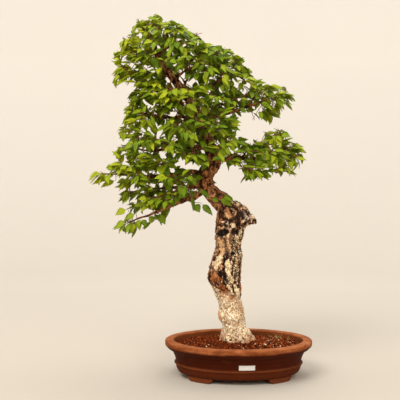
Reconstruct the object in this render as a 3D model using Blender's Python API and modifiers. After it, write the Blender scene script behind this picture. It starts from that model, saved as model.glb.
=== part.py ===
"""Korean hornbeam bonsai standing in its oval, unglazed pot, at real size in metres, +Z up.

The origin is on the surface that the pot's feet stand on, in the middle of the whole object's box.
The pot's long side lies along X, and the tree's front faces -Y. Lists of points are in millimetres.
"""
import math
import random

import bmesh
import bpy
from mathutils import Matrix, Vector
from mathutils.bvhtree import BVHTree

MM = 0.001
GAP = 0.0003            # air left between pieces that touch on the real object
UP = Vector((0, 0, 1))

# The pot: half its length against height, from the middle of its floor over the rim to the underside
POT_X = 0.0868
POT_NARROWING = 40.25   # mm, how much less the wall's half depth is than its half length
POT_FLOOR_EDGE = 138.0  # half length within which the oval narrows evenly to its middle
POT_STEPS = 36
POT_FLOOR = 18.0
POT_UNDERSIDE = 10.0
POT_INSIDE = [(0, POT_FLOOR), (139, POT_FLOOR), (150, 60), (153, 83.5)]
POT_OUTSIDE = [(154.5, 85), (173, 85), (175, 81), (174, 72), (165, 64), (156, 58), (151.6, 51), (148.5, 38),
               (150.3, 31.5), (144, 14), (138, POT_UNDERSIDE), (0, POT_UNDERSIDE)]
FOOT_ANGLES = [48, 132, 228, 312]
FOOT_SPREAD = 14.5      # degrees to either side of a foot's middle
FOOT_OUTER = 143.0      # mm, half length of the oval that the feet's fronts lie on
FOOT_THICK = 12.0
FOOT_TOP = 13.0
DRAIN_X = 0.068
DRAIN_RADIUS = 0.011
SCREEN_BAR = 0.0035
SCREEN_HOLE = 0.010
SCREEN_HOLES = 2
SCREEN_THICK = 0.001

# The soil: half length against height, over its mounded top and down the pot's inner wall
SOIL_TOP = [(0, 83), (58, 81), (112, 76)]
SOIL_SIDE = [(151.1, 72), (149.6, 60), (138.6, POT_FLOOR + 0.3), (0, POT_FLOOR + 0.3)]
SOIL_RIPPLE = 1.0       # mm, height of the uneven surface
STOCK_ROOM = 0.45       # mm, air round the root stock in its hole

# The trunk, from the root stock in the soil up to the shoulder: height, middle x and y, radius
TRUNK_SECTIONS = [
    (58, 86, 0, 34), (84, 86, 0, 34), (92, 83.5, 0, 32.5), (101, 81.5, 0, 30), (114, 77, 0, 26.7),
    (127, 74, 0, 28), (140, 71.7, 0, 29), (153, 70.5, 0, 27.9), (166, 68.5, 0, 27.8), (179, 66, -1, 28.3),
    (192, 63, -2, 30.5), (204, 60.3, -3, 33.1), (217, 56, -3, 37), (230, 52.4, -3, 39.3),
    (243, 53.5, -2, 38), (256, 55.5, 0, 36.2), (269, 59, 1, 35.8), (282, 62.2, 2, 35), (295, 62.8, 2, 31.5),
    (308, 62.6, 1, 29), (321, 63.5, 0, 30.5), (334, 64.6, -1, 33), (347, 66, -1, 34), (359, 71.7, 0, 38.1),
    (372, 76, 0, 40.5), (385, 75.7, 0, 38.1), (398, 70.5, 0, 34), (407, 67, 0, 27), (412, 65, 0, 17),
]
TRUNK_SIDES = 18
ROOT_LOBES = [4, 62, 124, 183, 236, 304]      # degrees round the trunk where a root runs out
ROOT_LOBE_SIZE = 9.5
ROOT_LOBE_WIDTH = 15.0
ROOT_LOBE_TOP = 128.0
# Knots, hollows and ribs of old wood: degrees round, height, half width, half height, how far out
BARK_FORMS = [
    (262, 232, 26, 26, 4.0), (300, 262, 20, 24, 4.5), (236, 304, 24, 14, -4.5), (222, 262, 20, 20, 3.5),
    (270, 203, 22, 16, -5.0), (318, 312, 22, 14, -4.0), (335, 340, 22, 16, 1.5), (250, 352, 22, 18, 4.5),
    (200, 140, 26, 12, 4.0), (262, 180, 20, 22, 2.5), (310, 160, 22, 22, -2.5), (90, 220, 30, 36, 4.0),
    (60, 330, 30, 30, 4.0), (130, 300, 26, 26, -4.0), (20, 190, 24, 20, -3.0), (285, 118, 14, 18, -4.0),
    (215, 388, 26, 16, 4.0), (100, 150, 26, 26, -3.0),
]
STUB = [(90, -6, 378), (110, -9, 370), (130, -10, 363)]
STUB_RADII = [16, 14, 5]
LEADER = [
    (70, 0, 376), (51, 0, 407), (31, 0, 424), (18, 0, 437), (10, 0, 450), (6, 0, 466), (14, 0, 485),
    (27, 0, 501), (24, 2, 528), (12, 3, 558), (-4, 3, 601), (-21, 2, 639), (-43, 0, 672), (-62, 0, 696),
    (-86, 0, 729), (-107, 0, 760), (-112, 0, 788), (-106, 0, 808),
]
LEADER_RADII = [20, 24, 20, 18, 19, 20, 19.5, 18, 16.6, 15, 13.6, 12.4, 11, 9.5, 8, 6.2, 4.4, 2.2]

# Branches: points in mm, radius at the trunk and at the tip, and how many side shoots each one carries
BRANCHES = {
    "low_left": ([(12, 0, 446), (-15, -10, 424), (-43, -20, 414), (-84, -30, 399), (-116, -38, 382),
                  (-148, -42, 373)], 8.0, 2.0, 2),
    "low_left_back": ([(14, 6, 452), (-41, 28, 446), (-92, 40, 444), (-138, 46, 440)], 6.0, 2.0, 1),
    "left_long": ([(12, -3, 474), (-28, -15, 481), (-84, -25, 471), (-140, -32, 469), (-188, -34, 474)],
                  7.0, 2.0, 3),
    "left_front": ([(9, -6, 460), (-21, -26, 448), (-50, -42, 438), (-74, -50, 431)], 5.0, 2.0, 1),
    "left_mid": ([(18, 0, 536), (-28, 8, 544), (-76, 8, 539), (-118, 0, 532), (-154, -6, 537)], 6.5, 2.0, 2),
    "right_low": ([(25, 3, 508), (79, 0, 515), (126, -10, 512), (166, -14, 522)], 7.0, 2.0, 2),
    "right_low_front": ([(25, -4, 514), (56, -28, 506), (84, -44, 497)], 5.0, 2.0, 1),
    "front_mid": ([(15, -4, 541), (6, -30, 540), (-6, -48, 534)], 5.0, 2.0, 1),
    "right_mid": ([(0, 3, 596), (29, 5, 613), (81, 0, 627), (120, -10, 641), (150, -14, 651)], 6.0, 2.0, 2),
    "left_mid_up": ([(-4, 2, 600), (-40, -12, 611), (-84, -22, 608), (-120, -28, 615)], 5.5, 2.0, 1),
    "front_mid_up": ([(-11, 0, 619), (-22, -30, 617), (-32, -48, 608)], 4.5, 2.0, 1),
    "right_up": ([(-37, 0, 664), (-4, -5, 674), (31, -12, 691), (62, -18, 706)], 5.0, 1.8, 2),
    "left_up": ([(-44, 0, 674), (-88, -5, 676), (-118, -12, 667)], 4.5, 1.8, 2),
    "back_low": ([(22, 6, 526), (12, 34, 541), (-6, 50, 553)], 5.0, 1.8, 1),
    "back_mid": ([(-12, 4, 624), (6, 34, 634), (24, 50, 645)], 4.5, 1.8, 1),
    "back_up": ([(-48, 3, 681), (-38, 30, 702), (-30, 48, 722)], 4.0, 1.8, 1),
    "high_right": ([(-68, 0, 706), (-33, -5, 724), (4, -10, 740)], 4.0, 1.8, 1),
    "high_left": ([(-82, 0, 724), (-112, -5, 716), (-138, -12, 719)], 3.6, 1.8, 2),
    "apex_right": ([(-106, 0, 762), (-71, -5, 781), (-44, -5, 797)], 3.2, 1.6, 1),
    "apex_left": ([(-109, 0, 769), (-130, -5, 781), (-146, -10, 786)], 2.8, 1.6, 1),
    "front_up": ([(-66, -2, 700), (-70, -26, 696), (-73, -44, 686)], 3.6, 1.8, 1),
}
LEADER_TIP_SHOOT = 24.0     # mm, stem of the shoot at the very top
BRANCH_STEPS = 4            # stretches of smooth route between two points of a branch
FORK_FIRST = 0.42           # place of a branch's first side shoot along it, and how far on the others go
FORK_SPREAD = 0.44
FORK_LENGTH = 34.0
FORK_ANGLE = 52.0
FORK_LIFTS = [0.75, 0.1, 0.45]
FORK_RADII = (2.6, 1.8)

# The crown's outline from the front (x, z) and its half depth: no leaf reaches out of it
CROWN = [
    (-107, 853), (-76, 848), (-40, 832), (-4, 808), (48, 786), (90, 765), (128, 712), (203, 688), (217, 658),
    (210, 630), (169, 604), (210, 590), (238, 545), (238, 500), (210, 480), (157, 476), (110, 456), (60, 455),
    (40, 400), (-28, 384), (-88, 356), (-112, 348), (-164, 330), (-212, 342), (-212, 400), (-230, 425),
    (-262, 455), (-250, 495), (-216, 505), (-222, 534), (-212, 562), (-192, 596), (-182, 640), (-182, 668),
    (-216, 684), (-220, 725), (-211, 755), (-192, 800), (-164, 834), (-135, 850),
]
CROWN_HALF_DEPTH = 132.0

# A leafy shoot: its stem, two side shoots, and leaves that hang out and down from them
SEED = 17
SHOOT_LENGTH = 46.0
SHOOT_RADII = (1.5, 0.9)
SIDE_SHOOT = (0.4, 0.55)                              # place along the stem, length against the stem
SIDE_SHOOT_ANGLE = 50.0
SHOOT_REACH = 95.0          # mm before or behind the trunk, where a shoot's own stem has to end
STEM_LEAVES = [(0.30, -1), (0.64, -1), (0.82, 1)]     # place along the stem, side
LEAF_LENGTH = 38.0
LEAF_WIDTH = 21.0
LEAF_THICK = 1.3
LEAF_EDGE = [(0.10, 0.14), (0.34, 1.0), (0.45, 0.78), (0.72, 0.58)]      # along the rib, across from it
LEAF_RIB = 0.42
LEAF_FOLD = 0.22            # rise of the blade's edge against its distance from the rib
LEAF_TRIES = 14
LEAF_LOOSENING = 0.12       # how much freer each further try may turn
LEAF_ROOM = (1.03, 1.08)    # length and width kept clear round a leaf, against its own
LEAF_ROOT = 0.0004          # how deep a leaf's foot sits in its stem
LEAF_TURNS = (35, 60)       # degrees away from the stem
LEAF_HANG = (0.25, 1.15)    # how far down a leaf points, against its way out
LEAF_WAY_OUT = 0.35
LEAF_LENGTHS = (0.84, 1.1)
LEAF_WIDTHS = (0.88, 1.08)
LEAF_BENDS = (0.05, 0.22)

LABEL_X = (-0.005, 0.031)    # from the pot's middle, on the front wall
LABEL_Z = (36.5, 43.5, 50.5)
LABEL_THICK = 0.0006


def collection(name):
    made = bpy.data.collections.new(name)
    bpy.context.scene.collection.children.link(made)
    return made


def material(name, colour, roughness):
    made = bpy.data.materials.new(name)
    made.use_nodes = True
    shader = made.node_tree.nodes["Principled BSDF"]
    shader.inputs["Base Color"].default_value = (*colour, 1)
    shader.inputs["Roughness"].default_value = roughness
    made.diffuse_color = (*colour, 1)
    return made


def smoothed(points, steps):
    """Points of a Catmull-Rom curve through the given ones, with a number of steps to each stretch."""
    ends = [points[0] * 2 - points[1]] + list(points) + [points[-1] * 2 - points[-2]]
    curve = []
    for a, b, c, d in zip(ends, ends[1:], ends[2:], ends[3:]):
        for step in range(steps):
            t = step / steps
            curve.append(0.5 * (2 * b + (c - a) * t + (2 * a - 5 * b + 4 * c - d) * t ** 2
                                + (3 * b - a - 3 * c + d) * t ** 3))
    return curve + [points[-1]]


def add_object(name, mesh, into):
    made = bpy.data.objects.new(name, mesh)
    into.objects.link(made)
    return made


def drop(things):
    for thing in list(things):
        bpy.data.objects.remove(thing)


def evaluated_mesh(thing):
    """The object's mesh with its modifiers applied and its place taken in."""
    graph = bpy.context.evaluated_depsgraph_get()
    mesh = bpy.data.meshes.new_from_object(thing.evaluated_get(graph))
    mesh.transform(thing.matrix_world)
    return mesh


def tube(name, points, radii, sides, into):
    """A tapered round limb: a poly curve with a radius at each point, turned into a closed mesh."""
    data = bpy.data.curves.new(name, "CURVE")
    data.dimensions = "3D"
    data.bevel_depth = 1.0
    data.bevel_resolution = sides // 2 - 2
    data.use_fill_caps = True
    spline = data.splines.new("POLY")
    spline.points.add(len(points) - 1)
    for spot, place, radius in zip(spline.points, points, radii):
        spot.co = (*place, 1)
        spot.radius = radius
    guide = add_object(name, data, into)
    mesh = evaluated_mesh(guide)
    drop([guide])
    body = bmesh.new()
    body.from_mesh(mesh)
    bmesh.ops.remove_doubles(body, verts=body.verts, dist=0.00002)
    bmesh.ops.recalc_face_normals(body, faces=body.faces)
    body.to_mesh(mesh)
    body.free()
    return add_object(name, mesh, into)


def joined(base, operation, others, solver="EXACT"):
    """Join or cut the base with every object of a collection, apply it, and remove those objects."""
    change = base.modifiers.new("joined", "BOOLEAN")
    change.operation = operation
    change.operand_type = "COLLECTION"
    change.collection = others
    change.solver = solver
    mesh = evaluated_mesh(base)
    base.modifiers.remove(change)
    base.data = mesh
    drop(others.objects)
    bpy.data.collections.remove(others)
    return base


def half_depth(half_length):
    """The pot's oval in mm: its half depth where its half length is the given one."""
    if half_length < POT_FLOOR_EDGE:
        return half_length * (1 - POT_NARROWING / POT_FLOOR_EDGE)
    return half_length - POT_NARROWING


def oval_turned(name, profile, into):
    """A profile of half length against height, turned about +Z, narrowed to the pot's oval, in triangles."""
    outline = bpy.data.meshes.new(name)
    points = [(x * MM, 0, z * MM) for x, z in profile]
    outline.from_pydata(points, [(i, i + 1) for i in range(len(points) - 1)], [])
    turned = add_object(name, outline, into)
    screw = turned.modifiers.new("turned", "SCREW")
    screw.axis = "Z"
    screw.steps = POT_STEPS
    screw.render_steps = POT_STEPS
    screw.use_merge_vertices = True
    screw.merge_threshold = 0.0001
    mesh = evaluated_mesh(turned)
    turned.modifiers.remove(screw)
    for vertex in mesh.vertices:
        reach = vertex.co.xy.length / MM
        if reach > 0:
            vertex.co.y *= half_depth(reach) / reach
    mesh.transform(Matrix.Translation((POT_X, 0, 0)))
    body = bmesh.new()
    body.from_mesh(mesh)
    bmesh.ops.triangulate(body, faces=body.faces)
    body.to_mesh(mesh)
    body.free()
    turned.data = mesh
    return turned


def loft(name, rings, into):
    """A closed body through rings of equally many points, for sections that are unlike each other."""
    body = bmesh.new()
    rows = [[body.verts.new(point) for point in ring] for ring in rings]
    count = len(rows[0])
    for low, high in zip(rows, rows[1:]):
        for i in range(count):
            body.faces.new((low[i], low[(i + 1) % count], high[(i + 1) % count], high[i]))
    body.faces.new(rows[0][::-1])
    body.faces.new(rows[-1])
    bmesh.ops.recalc_face_normals(body, faces=body.faces)
    mesh = bpy.data.meshes.new(name)
    body.to_mesh(mesh)
    body.free()
    return add_object(name, mesh, into)


def on_oval(half_length, degrees, height):
    """A point on the pot's oval of the given half length, in mm."""
    turn = math.radians(degrees)
    return Vector((POT_X + half_length * MM * math.cos(turn),
                   half_depth(half_length) * MM * math.sin(turn), height * MM))


def foot(name, middle, into):
    """A bracket foot that follows the pot's wall, with its ends cut back towards the bottom."""
    stations = [(-1.0, 8.0), (-0.8, 3.0), (-0.62, 0), (-0.2, 0), (0.2, 0), (0.62, 0), (0.8, 3.0), (1.0, 8.0)]
    rings = []
    for part, bottom in stations:
        degrees = middle + part * FOOT_SPREAD
        inner = FOOT_OUTER - FOOT_THICK
        rings.append([on_oval(inner, degrees, bottom), on_oval(FOOT_OUTER - 2, degrees, bottom),
                      on_oval(FOOT_OUTER - 4, degrees, FOOT_TOP), on_oval(inner, degrees, FOOT_TOP)])
    return loft(name, rings, into)


def build_pot(parts, clay):
    pot = oval_turned("pot", POT_INSIDE + POT_OUTSIDE, parts)
    drains = collection("drains")
    for side in (-1, 1):
        body = bmesh.new()
        bmesh.ops.create_cone(body, cap_ends=True, segments=14, radius1=DRAIN_RADIUS, radius2=DRAIN_RADIUS,
                              depth=0.03)
        mesh = bpy.data.meshes.new("drain")
        body.to_mesh(mesh)
        body.free()
        cutter = add_object("drain", mesh, drains)
        cutter.location = (POT_X + side * DRAIN_X, 0, POT_FLOOR * MM)
        cutter.hide_render = True
        cutter.display_type = "WIRE"
    bpy.context.view_layer.update()
    joined(pot, "DIFFERENCE", drains)
    feet = collection("pot_feet")
    for middle in FOOT_ANGLES:
        foot("foot", middle, feet)
    joined(pot, "UNION", feet)
    pot.data.materials.append(clay)
    pot.data.shade_smooth()
    pot.data.set_sharp_from_angle(angle=math.radians(35))
    return pot


def box_at(name, middle, size, into):
    bpy.ops.mesh.primitive_cube_add(size=1, location=middle)
    made = bpy.context.active_object
    made.name = name
    made.data.transform(Matrix.Diagonal((*size, 1)))
    for owner in list(made.users_collection):
        owner.objects.unlink(made)
    into.objects.link(made)
    bpy.context.view_layer.update()
    return made


def build_screen(name, side, parts, plastic):
    """A square of plastic mesh over a drainage hole: a plate with a grid of square holes."""
    pitch = SCREEN_BAR + SCREEN_HOLE
    width = SCREEN_HOLES * pitch + SCREEN_BAR
    middle = Vector((POT_X + side * DRAIN_X, 0, POT_FLOOR * MM + GAP + SCREEN_THICK / 2))
    screen = box_at(name, middle, (width, width, SCREEN_THICK), parts)
    holes = collection(name + "_holes")
    for row in range(SCREEN_HOLES):
        for column in range(SCREEN_HOLES):
            offset = Vector((row - 0.5, column - 0.5, 0)) * pitch
            hole = box_at("hole", middle + offset, (SCREEN_HOLE, SCREEN_HOLE, 3 * SCREEN_THICK), holes)
            hole.hide_render = True
            hole.display_type = "WIRE"
    joined(screen, "DIFFERENCE", holes)
    screen.matrix_world = Matrix.Identity(4)
    screen.data.materials.append(plastic)
    return screen


def build_soil(parts, grit):
    """The root ball's soil, with a plain hole for the root stock and pockets over the screens."""
    soil = oval_turned("soil", SOIL_TOP + SOIL_SIDE, parts)
    for vertex in soil.data.vertices:
        x, y, z = vertex.co / MM
        if SOIL_SIDE[0][1] + 1 < z < SOIL_TOP[0][1] - 1:
            vertex.co.z += SOIL_RIPPLE * MM * math.sin(x / 17) * math.cos(y / 13)
    cutters = collection("soil_cutters")
    foot_ring, ground_ring = [trunk_ring(height, x, y, radius + STOCK_ROOM)
                              for height, x, y, radius in TRUNK_SECTIONS[:2]]
    loft("stock_hole", [[point - UP * GAP for point in foot_ring], ground_ring,
                        [point + UP * 0.012 for point in ground_ring]], cutters)
    pocket = SCREEN_HOLES * (SCREEN_BAR + SCREEN_HOLE) + SCREEN_BAR + 2 * GAP
    depth = SCREEN_THICK + 2 * GAP
    for side in (-1, 1):
        box_at("pocket", (POT_X + side * DRAIN_X, 0, POT_FLOOR * MM + depth / 2), (pocket, pocket, depth), cutters)
    for cutter in cutters.objects:
        cutter.hide_render = True
        cutter.display_type = "WIRE"
    joined(soil, "DIFFERENCE", cutters)
    soil.data.materials.append(grit)
    return soil


def hump(distance, width):
    """A smooth bump: 1 at no distance, down to 0 at about two widths."""
    return math.exp(-(distance / width) ** 2)


def turn_between(a, b):
    return (a - b + 180) % 360 - 180


def trunk_ring(height, x, y, radius):
    """One level section of the trunk, with root lobes low down and the old wood's knots and hollows."""
    spread = min(1.0, max(0.0, (ROOT_LOBE_TOP - height) / (ROOT_LOBE_TOP - 84)))
    ring = []
    for side in range(TRUNK_SIDES):
        degrees = 360 * side / TRUNK_SIDES
        reach = radius
        for lobe in ROOT_LOBES:
            reach += ROOT_LOBE_SIZE * spread ** 1.5 * hump(turn_between(degrees, lobe), ROOT_LOBE_WIDTH)
        for around, level, half_width, half_height, out in BARK_FORMS:
            reach += out * hump(turn_between(degrees, around), half_width) * hump(height - level, half_height)
        turn = math.radians(degrees)
        ring.append(Vector((x + reach * math.cos(turn), y + reach * math.sin(turn), height)) * MM)
    return ring


def branch_curve(points, start, end):
    """The smooth route of a branch and its radius at each point, thinning evenly along it."""
    route = smoothed([Vector(point) * MM for point in points], BRANCH_STEPS)
    radii = [(start + (end - start) * i / (len(route) - 1)) * MM for i in range(len(route))]
    return route, radii


def turned_flat(direction, degrees):
    return Matrix.Rotation(math.radians(degrees), 3, "Z") @ direction


def branch_tips():
    """Every place where a leafy shoot goes on: the limbs' ends, and the ends of their side shoots."""
    limbs = []
    tips = []
    for name, (points, start, end, forks) in BRANCHES.items():
        route, radii = branch_curve(points, start, end)
        limbs.append((name, route[::BRANCH_STEPS], radii[::BRANCH_STEPS], 6))
        tips.append((route[-1], (route[-1] - route[-2]).normalized(), end, SHOOT_LENGTH))
        for fork in range(forks):
            share = FORK_FIRST + FORK_SPREAD * fork / max(1, forks - 0.5)
            at = round(share * (len(route) - 1))
            side = 1 if (fork + len(name)) % 2 else -1
            along = (route[at] - route[at - 1]).normalized()
            lift = UP * FORK_LIFTS[(fork + len(name)) % len(FORK_LIFTS)]
            heading = (turned_flat(along, side * FORK_ANGLE) + lift).normalized()
            length = FORK_LENGTH * (1.12 - 0.3 * share)
            if abs(route[at].y + heading.y * (length + SHOOT_LENGTH) * MM) > SHOOT_REACH * MM:
                heading = (turned_flat(along, -side * FORK_ANGLE) + lift).normalized()
            middle = route[at] + heading * length * MM * 0.5 + UP * 0.0015
            tip = route[at] + heading * length * MM
            limbs.append((name + "_fork", [route[at], middle, tip],
                          [FORK_RADII[0] * MM, FORK_RADII[0] * MM, FORK_RADII[1] * MM], 4))
            tips.append((tip, (tip - middle).normalized(), FORK_RADII[1], SHOOT_LENGTH * 0.9))
    tips.append((Vector(LEADER[-1]) * MM, (Vector(LEADER[-1]) - Vector(LEADER[-2])).normalized(),
                 LEADER_RADII[-1], LEADER_TIP_SHOOT))
    return limbs, tips


def build_tree(parts, bark, limbs):
    rings = [trunk_ring(*section) for section in TRUNK_SECTIONS]
    tree = loft("tree", rings, parts)
    wood = collection("wood")
    tube("stub", [Vector(point) * MM for point in STUB], [r * MM for r in STUB_RADII], 6, wood)
    tube("leader", [Vector(point) * MM for point in LEADER], [r * MM for r in LEADER_RADII], 8, wood)
    for name, route, radii, sides in limbs:
        tube(name, route, radii, sides, wood)
    joined(tree, "UNION", wood)
    tree.data.materials.append(bark)
    tree.data.shade_smooth()
    tree.data.set_sharp_from_angle(angle=math.radians(50))
    return tree


def inside_crown(point):
    """Whether a point lies within the crown's outline, seen from the front, and within its depth."""
    x, z = point.x / MM, point.z / MM
    inside = False
    for (x1, z1), (x2, z2) in zip(CROWN, CROWN[1:] + CROWN[:1]):
        if (z1 > z) != (z2 > z) and x < x1 + (z - z1) * (x2 - x1) / (z2 - z1):
            inside = not inside
    return inside and abs(point.y) < CROWN_HALF_DEPTH * MM


def leaf_shape(place, length, width, bend):
    """Points and triangles of one leaf: a toothed, pointed blade, folded at its rib, thin at its edge."""
    def at(along, across, lift):
        drop_off = -bend * along * along * length
        fold = LEAF_FOLD * abs(across)
        return place @ Vector((across, along * length, drop_off + fold + lift))

    half = width / 2
    thick = LEAF_THICK * MM / 2
    points = [at(0, 0, 0), at(1, 0, 0)]
    points += [at(LEAF_RIB, 0, thick), at(LEAF_RIB, 0, -thick)]
    for side in (-1, 1):
        points += [at(along, side * share * half, 0) for along, share in LEAF_EDGE]
    triangles = []
    for rib, upper in ((2, True), (3, False)):
        for start, right in ((4, False), (4 + len(LEAF_EDGE), True)):
            edge = [0] + [start + i for i in range(len(LEAF_EDGE))] + [1]
            for first, second in zip(edge, edge[1:]):
                triangles.append((first, second, rib) if upper == right else (second, first, rib))
    return points, triangles


def leaf_place(base, along, facing):
    """The leaf's own axes: y from its foot to its tip, z out of its upper face."""
    out = (facing - along * facing.dot(along)).normalized()
    across = along.cross(out)
    place = Matrix((across, along, out)).transposed().to_4x4()
    place.translation = base
    return place


def shoot_stems(tip, heading, radius, length, side, rng):
    """The stem that goes on from a branch tip, and its side shoot, as routes with their radii."""
    start = tip + heading * GAP
    sway = turned_flat(heading, rng.uniform(-12, 12)) - UP * rng.uniform(0.0, 0.25)
    end = start + sway.normalized() * length * MM
    thick = min(radius, SHOOT_RADII[0]) * MM
    thin = SHOOT_RADII[1] * MM
    share, part = SIDE_SHOOT
    root = start.lerp(end, share)
    away = turned_flat(heading, side * SIDE_SHOOT_ANGLE * rng.uniform(0.8, 1.2))
    away = (away + UP * rng.uniform(-0.1, 0.25)).normalized()
    return [([start, end], [thick, thin]), ([root, root + away * length * part * MM], [0.8 * thick, thin])]


def shoot_leaves(stems, side):
    """Where the leaves of a shoot grow: their foot, the way of their stem, and the side they turn to."""
    (start, end), _ = stems[0]
    (root, tip), _ = stems[1]
    heading = (end - start).normalized()
    away = (tip - root).normalized()
    spots = [(end, heading, 0), (tip, away, 0), (root.lerp(tip, 0.55), away, side)]
    return spots + [(start.lerp(end, share), heading, side * turn) for share, turn in STEM_LEAVES]


def leaf_try(foot_point, heading, side, shoot, leaf, attempt):
    """One way that a leaf may hang: out from its stem and down, its face turned up and outwards."""
    rng = random.Random(SEED * 1000000 + shoot * 10000 + leaf * 100 + attempt)
    outward = Vector((foot_point.x + 0.02, foot_point.y * 1.6, 0.0)).normalized()
    loose = 1 + LEAF_LOOSENING * attempt
    turn = side * rng.uniform(*LEAF_TURNS) + rng.uniform(-18, 18) * loose
    along = turned_flat(heading, turn) + outward * LEAF_WAY_OUT - UP * rng.uniform(*LEAF_HANG) * loose
    along += Vector([rng.uniform(-0.18, 0.18) * loose for _ in range(3)])
    along.normalize()
    facing = UP * 0.8 + outward * 0.9 + Vector([rng.uniform(-0.35, 0.35) * loose for _ in range(3)])
    length = LEAF_LENGTH * rng.uniform(*LEAF_LENGTHS) * MM
    width = LEAF_WIDTH * rng.uniform(*LEAF_WIDTHS) * MM
    bend = rng.uniform(*LEAF_BENDS)
    return leaf_place(foot_point - along * LEAF_ROOT, along, facing), length, width, bend


class Placed:
    """Bodies already placed, kept as searchable trees, so that a new one can be tested for crossings."""

    def __init__(self):
        self.bodies = []

    @staticmethod
    def box(points):
        low = Vector([min(point[i] for point in points) for i in range(3)])
        high = Vector([max(point[i] for point in points) for i in range(3)])
        return low, high

    def add(self, points, faces, owner):
        self.bodies.append((self.box(points), BVHTree.FromPolygons(points, faces), owner))

    def crosses(self, points, faces, skip):
        low, high = self.box(points)
        tree = None
        for (other_low, other_high), other, owner in self.bodies:
            if owner == skip or any(low[i] > other_high[i] or high[i] < other_low[i] for i in range(3)):
                continue
            tree = tree or BVHTree.FromPolygons(points, faces)
            if tree.overlap(other):
                return True
        return False


def polygons(thing):
    return [v.co.copy() for v in thing.data.vertices], [tuple(p.vertices) for p in thing.data.polygons]


def build_shoots(parts, green, tree, tips):
    """The leafy shoots: all their stems first, then leaf by leaf, each hung where it crosses nothing."""
    placed = Placed()
    placed.add(*polygons(tree), "tree")
    shoots = []
    for number, (tip, heading, radius, length) in enumerate(tips):
        rng = random.Random(SEED * 1000 + number)
        side = 1 if number % 2 else -1
        stems = shoot_stems(tip, heading, radius, length, side, rng)
        twigs = collection("twigs_%02d" % number)
        for route, radii in stems:
            stem = tube("stem", route, radii, 4, twigs)
            placed.add(*polygons(stem), ("stem", number))
        shoots.append((side, stems, twigs))
    for number, (side, stems, twigs) in enumerate(shoots):
        base = twigs.objects[0]
        for leaf, (spot, heading, turn) in enumerate(shoot_leaves(stems, side)):
            for attempt in range(LEAF_TRIES):
                place, long, wide, bend = leaf_try(spot, heading, turn, number, leaf, attempt)
                points, faces = leaf_shape(place, long, wide, bend)
                roomy, _ = leaf_shape(place, long * LEAF_ROOM[0], wide * LEAF_ROOM[1], bend)
                if not all(inside_crown(point) for point in points):
                    continue
                if placed.crosses(roomy, faces, ("stem", number)):
                    continue
                mesh = bpy.data.meshes.new("leaf")
                mesh.from_pydata(points, [], faces)
                add_object("leaf", mesh, twigs)
                placed.add(points, faces, ("leaf", number))
                break
        twigs.objects.unlink(base)
        parts.objects.link(base)
        base.name = "shoot_%02d" % number
        joined(base, "UNION", twigs)
        base.data.materials.append(green)


def oval_at(height):
    """The pot's outer half length at a height on its wall, in mm."""
    wall = sorted(((z, x) for x, z in POT_OUTSIDE if x > 140 and z < 84))
    for (z1, x1), (z2, x2) in zip(wall, wall[1:]):
        if z1 <= height <= z2:
            return x1 + (x2 - x1) * (height - z1) / (z2 - z1)
    raise ValueError("height is off the wall")


def build_label(parts, paper):
    """A small blank sticker that follows the pot's front wall."""
    columns = 6
    rings = []
    for column in range(columns):
        x = LABEL_X[0] + (LABEL_X[1] - LABEL_X[0]) * column / (columns - 1)
        ring = []
        for lift, heights in ((GAP, LABEL_Z), (GAP + LABEL_THICK, LABEL_Z[::-1])):
            for height in heights:
                half = oval_at(height)
                y = -half_depth(half) * MM * math.sqrt(1 - (x / MM / half) ** 2)
                ring.append(Vector((POT_X + x, y - lift, height * MM)))
        rings.append(ring)
    label = loft("label", rings, parts)
    label.data.materials.append(paper)
    return label


drop(bpy.data.objects)
bonsai = collection("korean_hornbeam_bonsai")
build_pot(bonsai, material("unglazed_clay", (0.16, 0.06, 0.04), 0.85))
plastic_mesh = material("plastic_mesh", (0.05, 0.09, 0.06), 0.6)
build_screen("screen_left", -1, bonsai, plastic_mesh)
build_screen("screen_right", 1, bonsai, plastic_mesh)
build_soil(bonsai, material("soil_grit", (0.20, 0.10, 0.07), 0.95))
build_label(bonsai, material("label_paper", (0.8, 0.8, 0.78), 0.6))
tree_limbs, tree_tips = branch_tips()
whole_tree = build_tree(bonsai, material("bark", (0.28, 0.2, 0.14), 0.9), tree_limbs)
build_shoots(bonsai, material("leaf", (0.16, 0.3, 0.05), 0.55), whole_tree, tree_tips)
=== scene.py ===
"""The look of a korean hornbeam bonsai in its oval pot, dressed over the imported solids.

Lists of points and sizes are in millimetres, and MM turns them into Blender's metres. The pot's long
side lies along X, the tree's front faces -Y, and every piece rides on the one body, root.
"""
import math
import random
import bmesh
import bpy
import numpy as np
from mathutils import Matrix, Vector, kdtree, noise


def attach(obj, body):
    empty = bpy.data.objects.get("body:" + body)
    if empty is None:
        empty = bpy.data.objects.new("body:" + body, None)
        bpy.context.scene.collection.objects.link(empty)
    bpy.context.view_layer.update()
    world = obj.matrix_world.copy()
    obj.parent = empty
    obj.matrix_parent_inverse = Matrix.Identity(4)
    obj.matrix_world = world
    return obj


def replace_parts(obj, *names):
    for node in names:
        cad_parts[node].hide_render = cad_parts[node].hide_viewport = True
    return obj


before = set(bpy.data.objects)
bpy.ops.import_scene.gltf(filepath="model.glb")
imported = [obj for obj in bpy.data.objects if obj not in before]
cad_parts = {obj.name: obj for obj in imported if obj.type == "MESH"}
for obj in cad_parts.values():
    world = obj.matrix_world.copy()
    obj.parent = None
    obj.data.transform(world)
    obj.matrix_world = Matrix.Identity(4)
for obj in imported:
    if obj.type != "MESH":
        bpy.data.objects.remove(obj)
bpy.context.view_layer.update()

# The pot
# One piece of unglazed stoneware: an oval tub with a wide flat rim, a cord of clay low on its wall and four
# bracket feet, pressed in a mould, smoothed by hand and fired dark. Its rim and feet are lighter; the wall and the
# rim's underside carry painted shade, and the rim's top and the cord carry painted highlights.
MM = 0.001
UP = Vector((0, 0, 1))
POT_MIDDLE = 86.8          # X of the pot's middle
POT_NARROWING = 40.25      # how much less the wall's half depth is than its half length
FLOOR_EDGE = 138.0         # half length within which the oval narrows evenly to its middle
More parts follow.
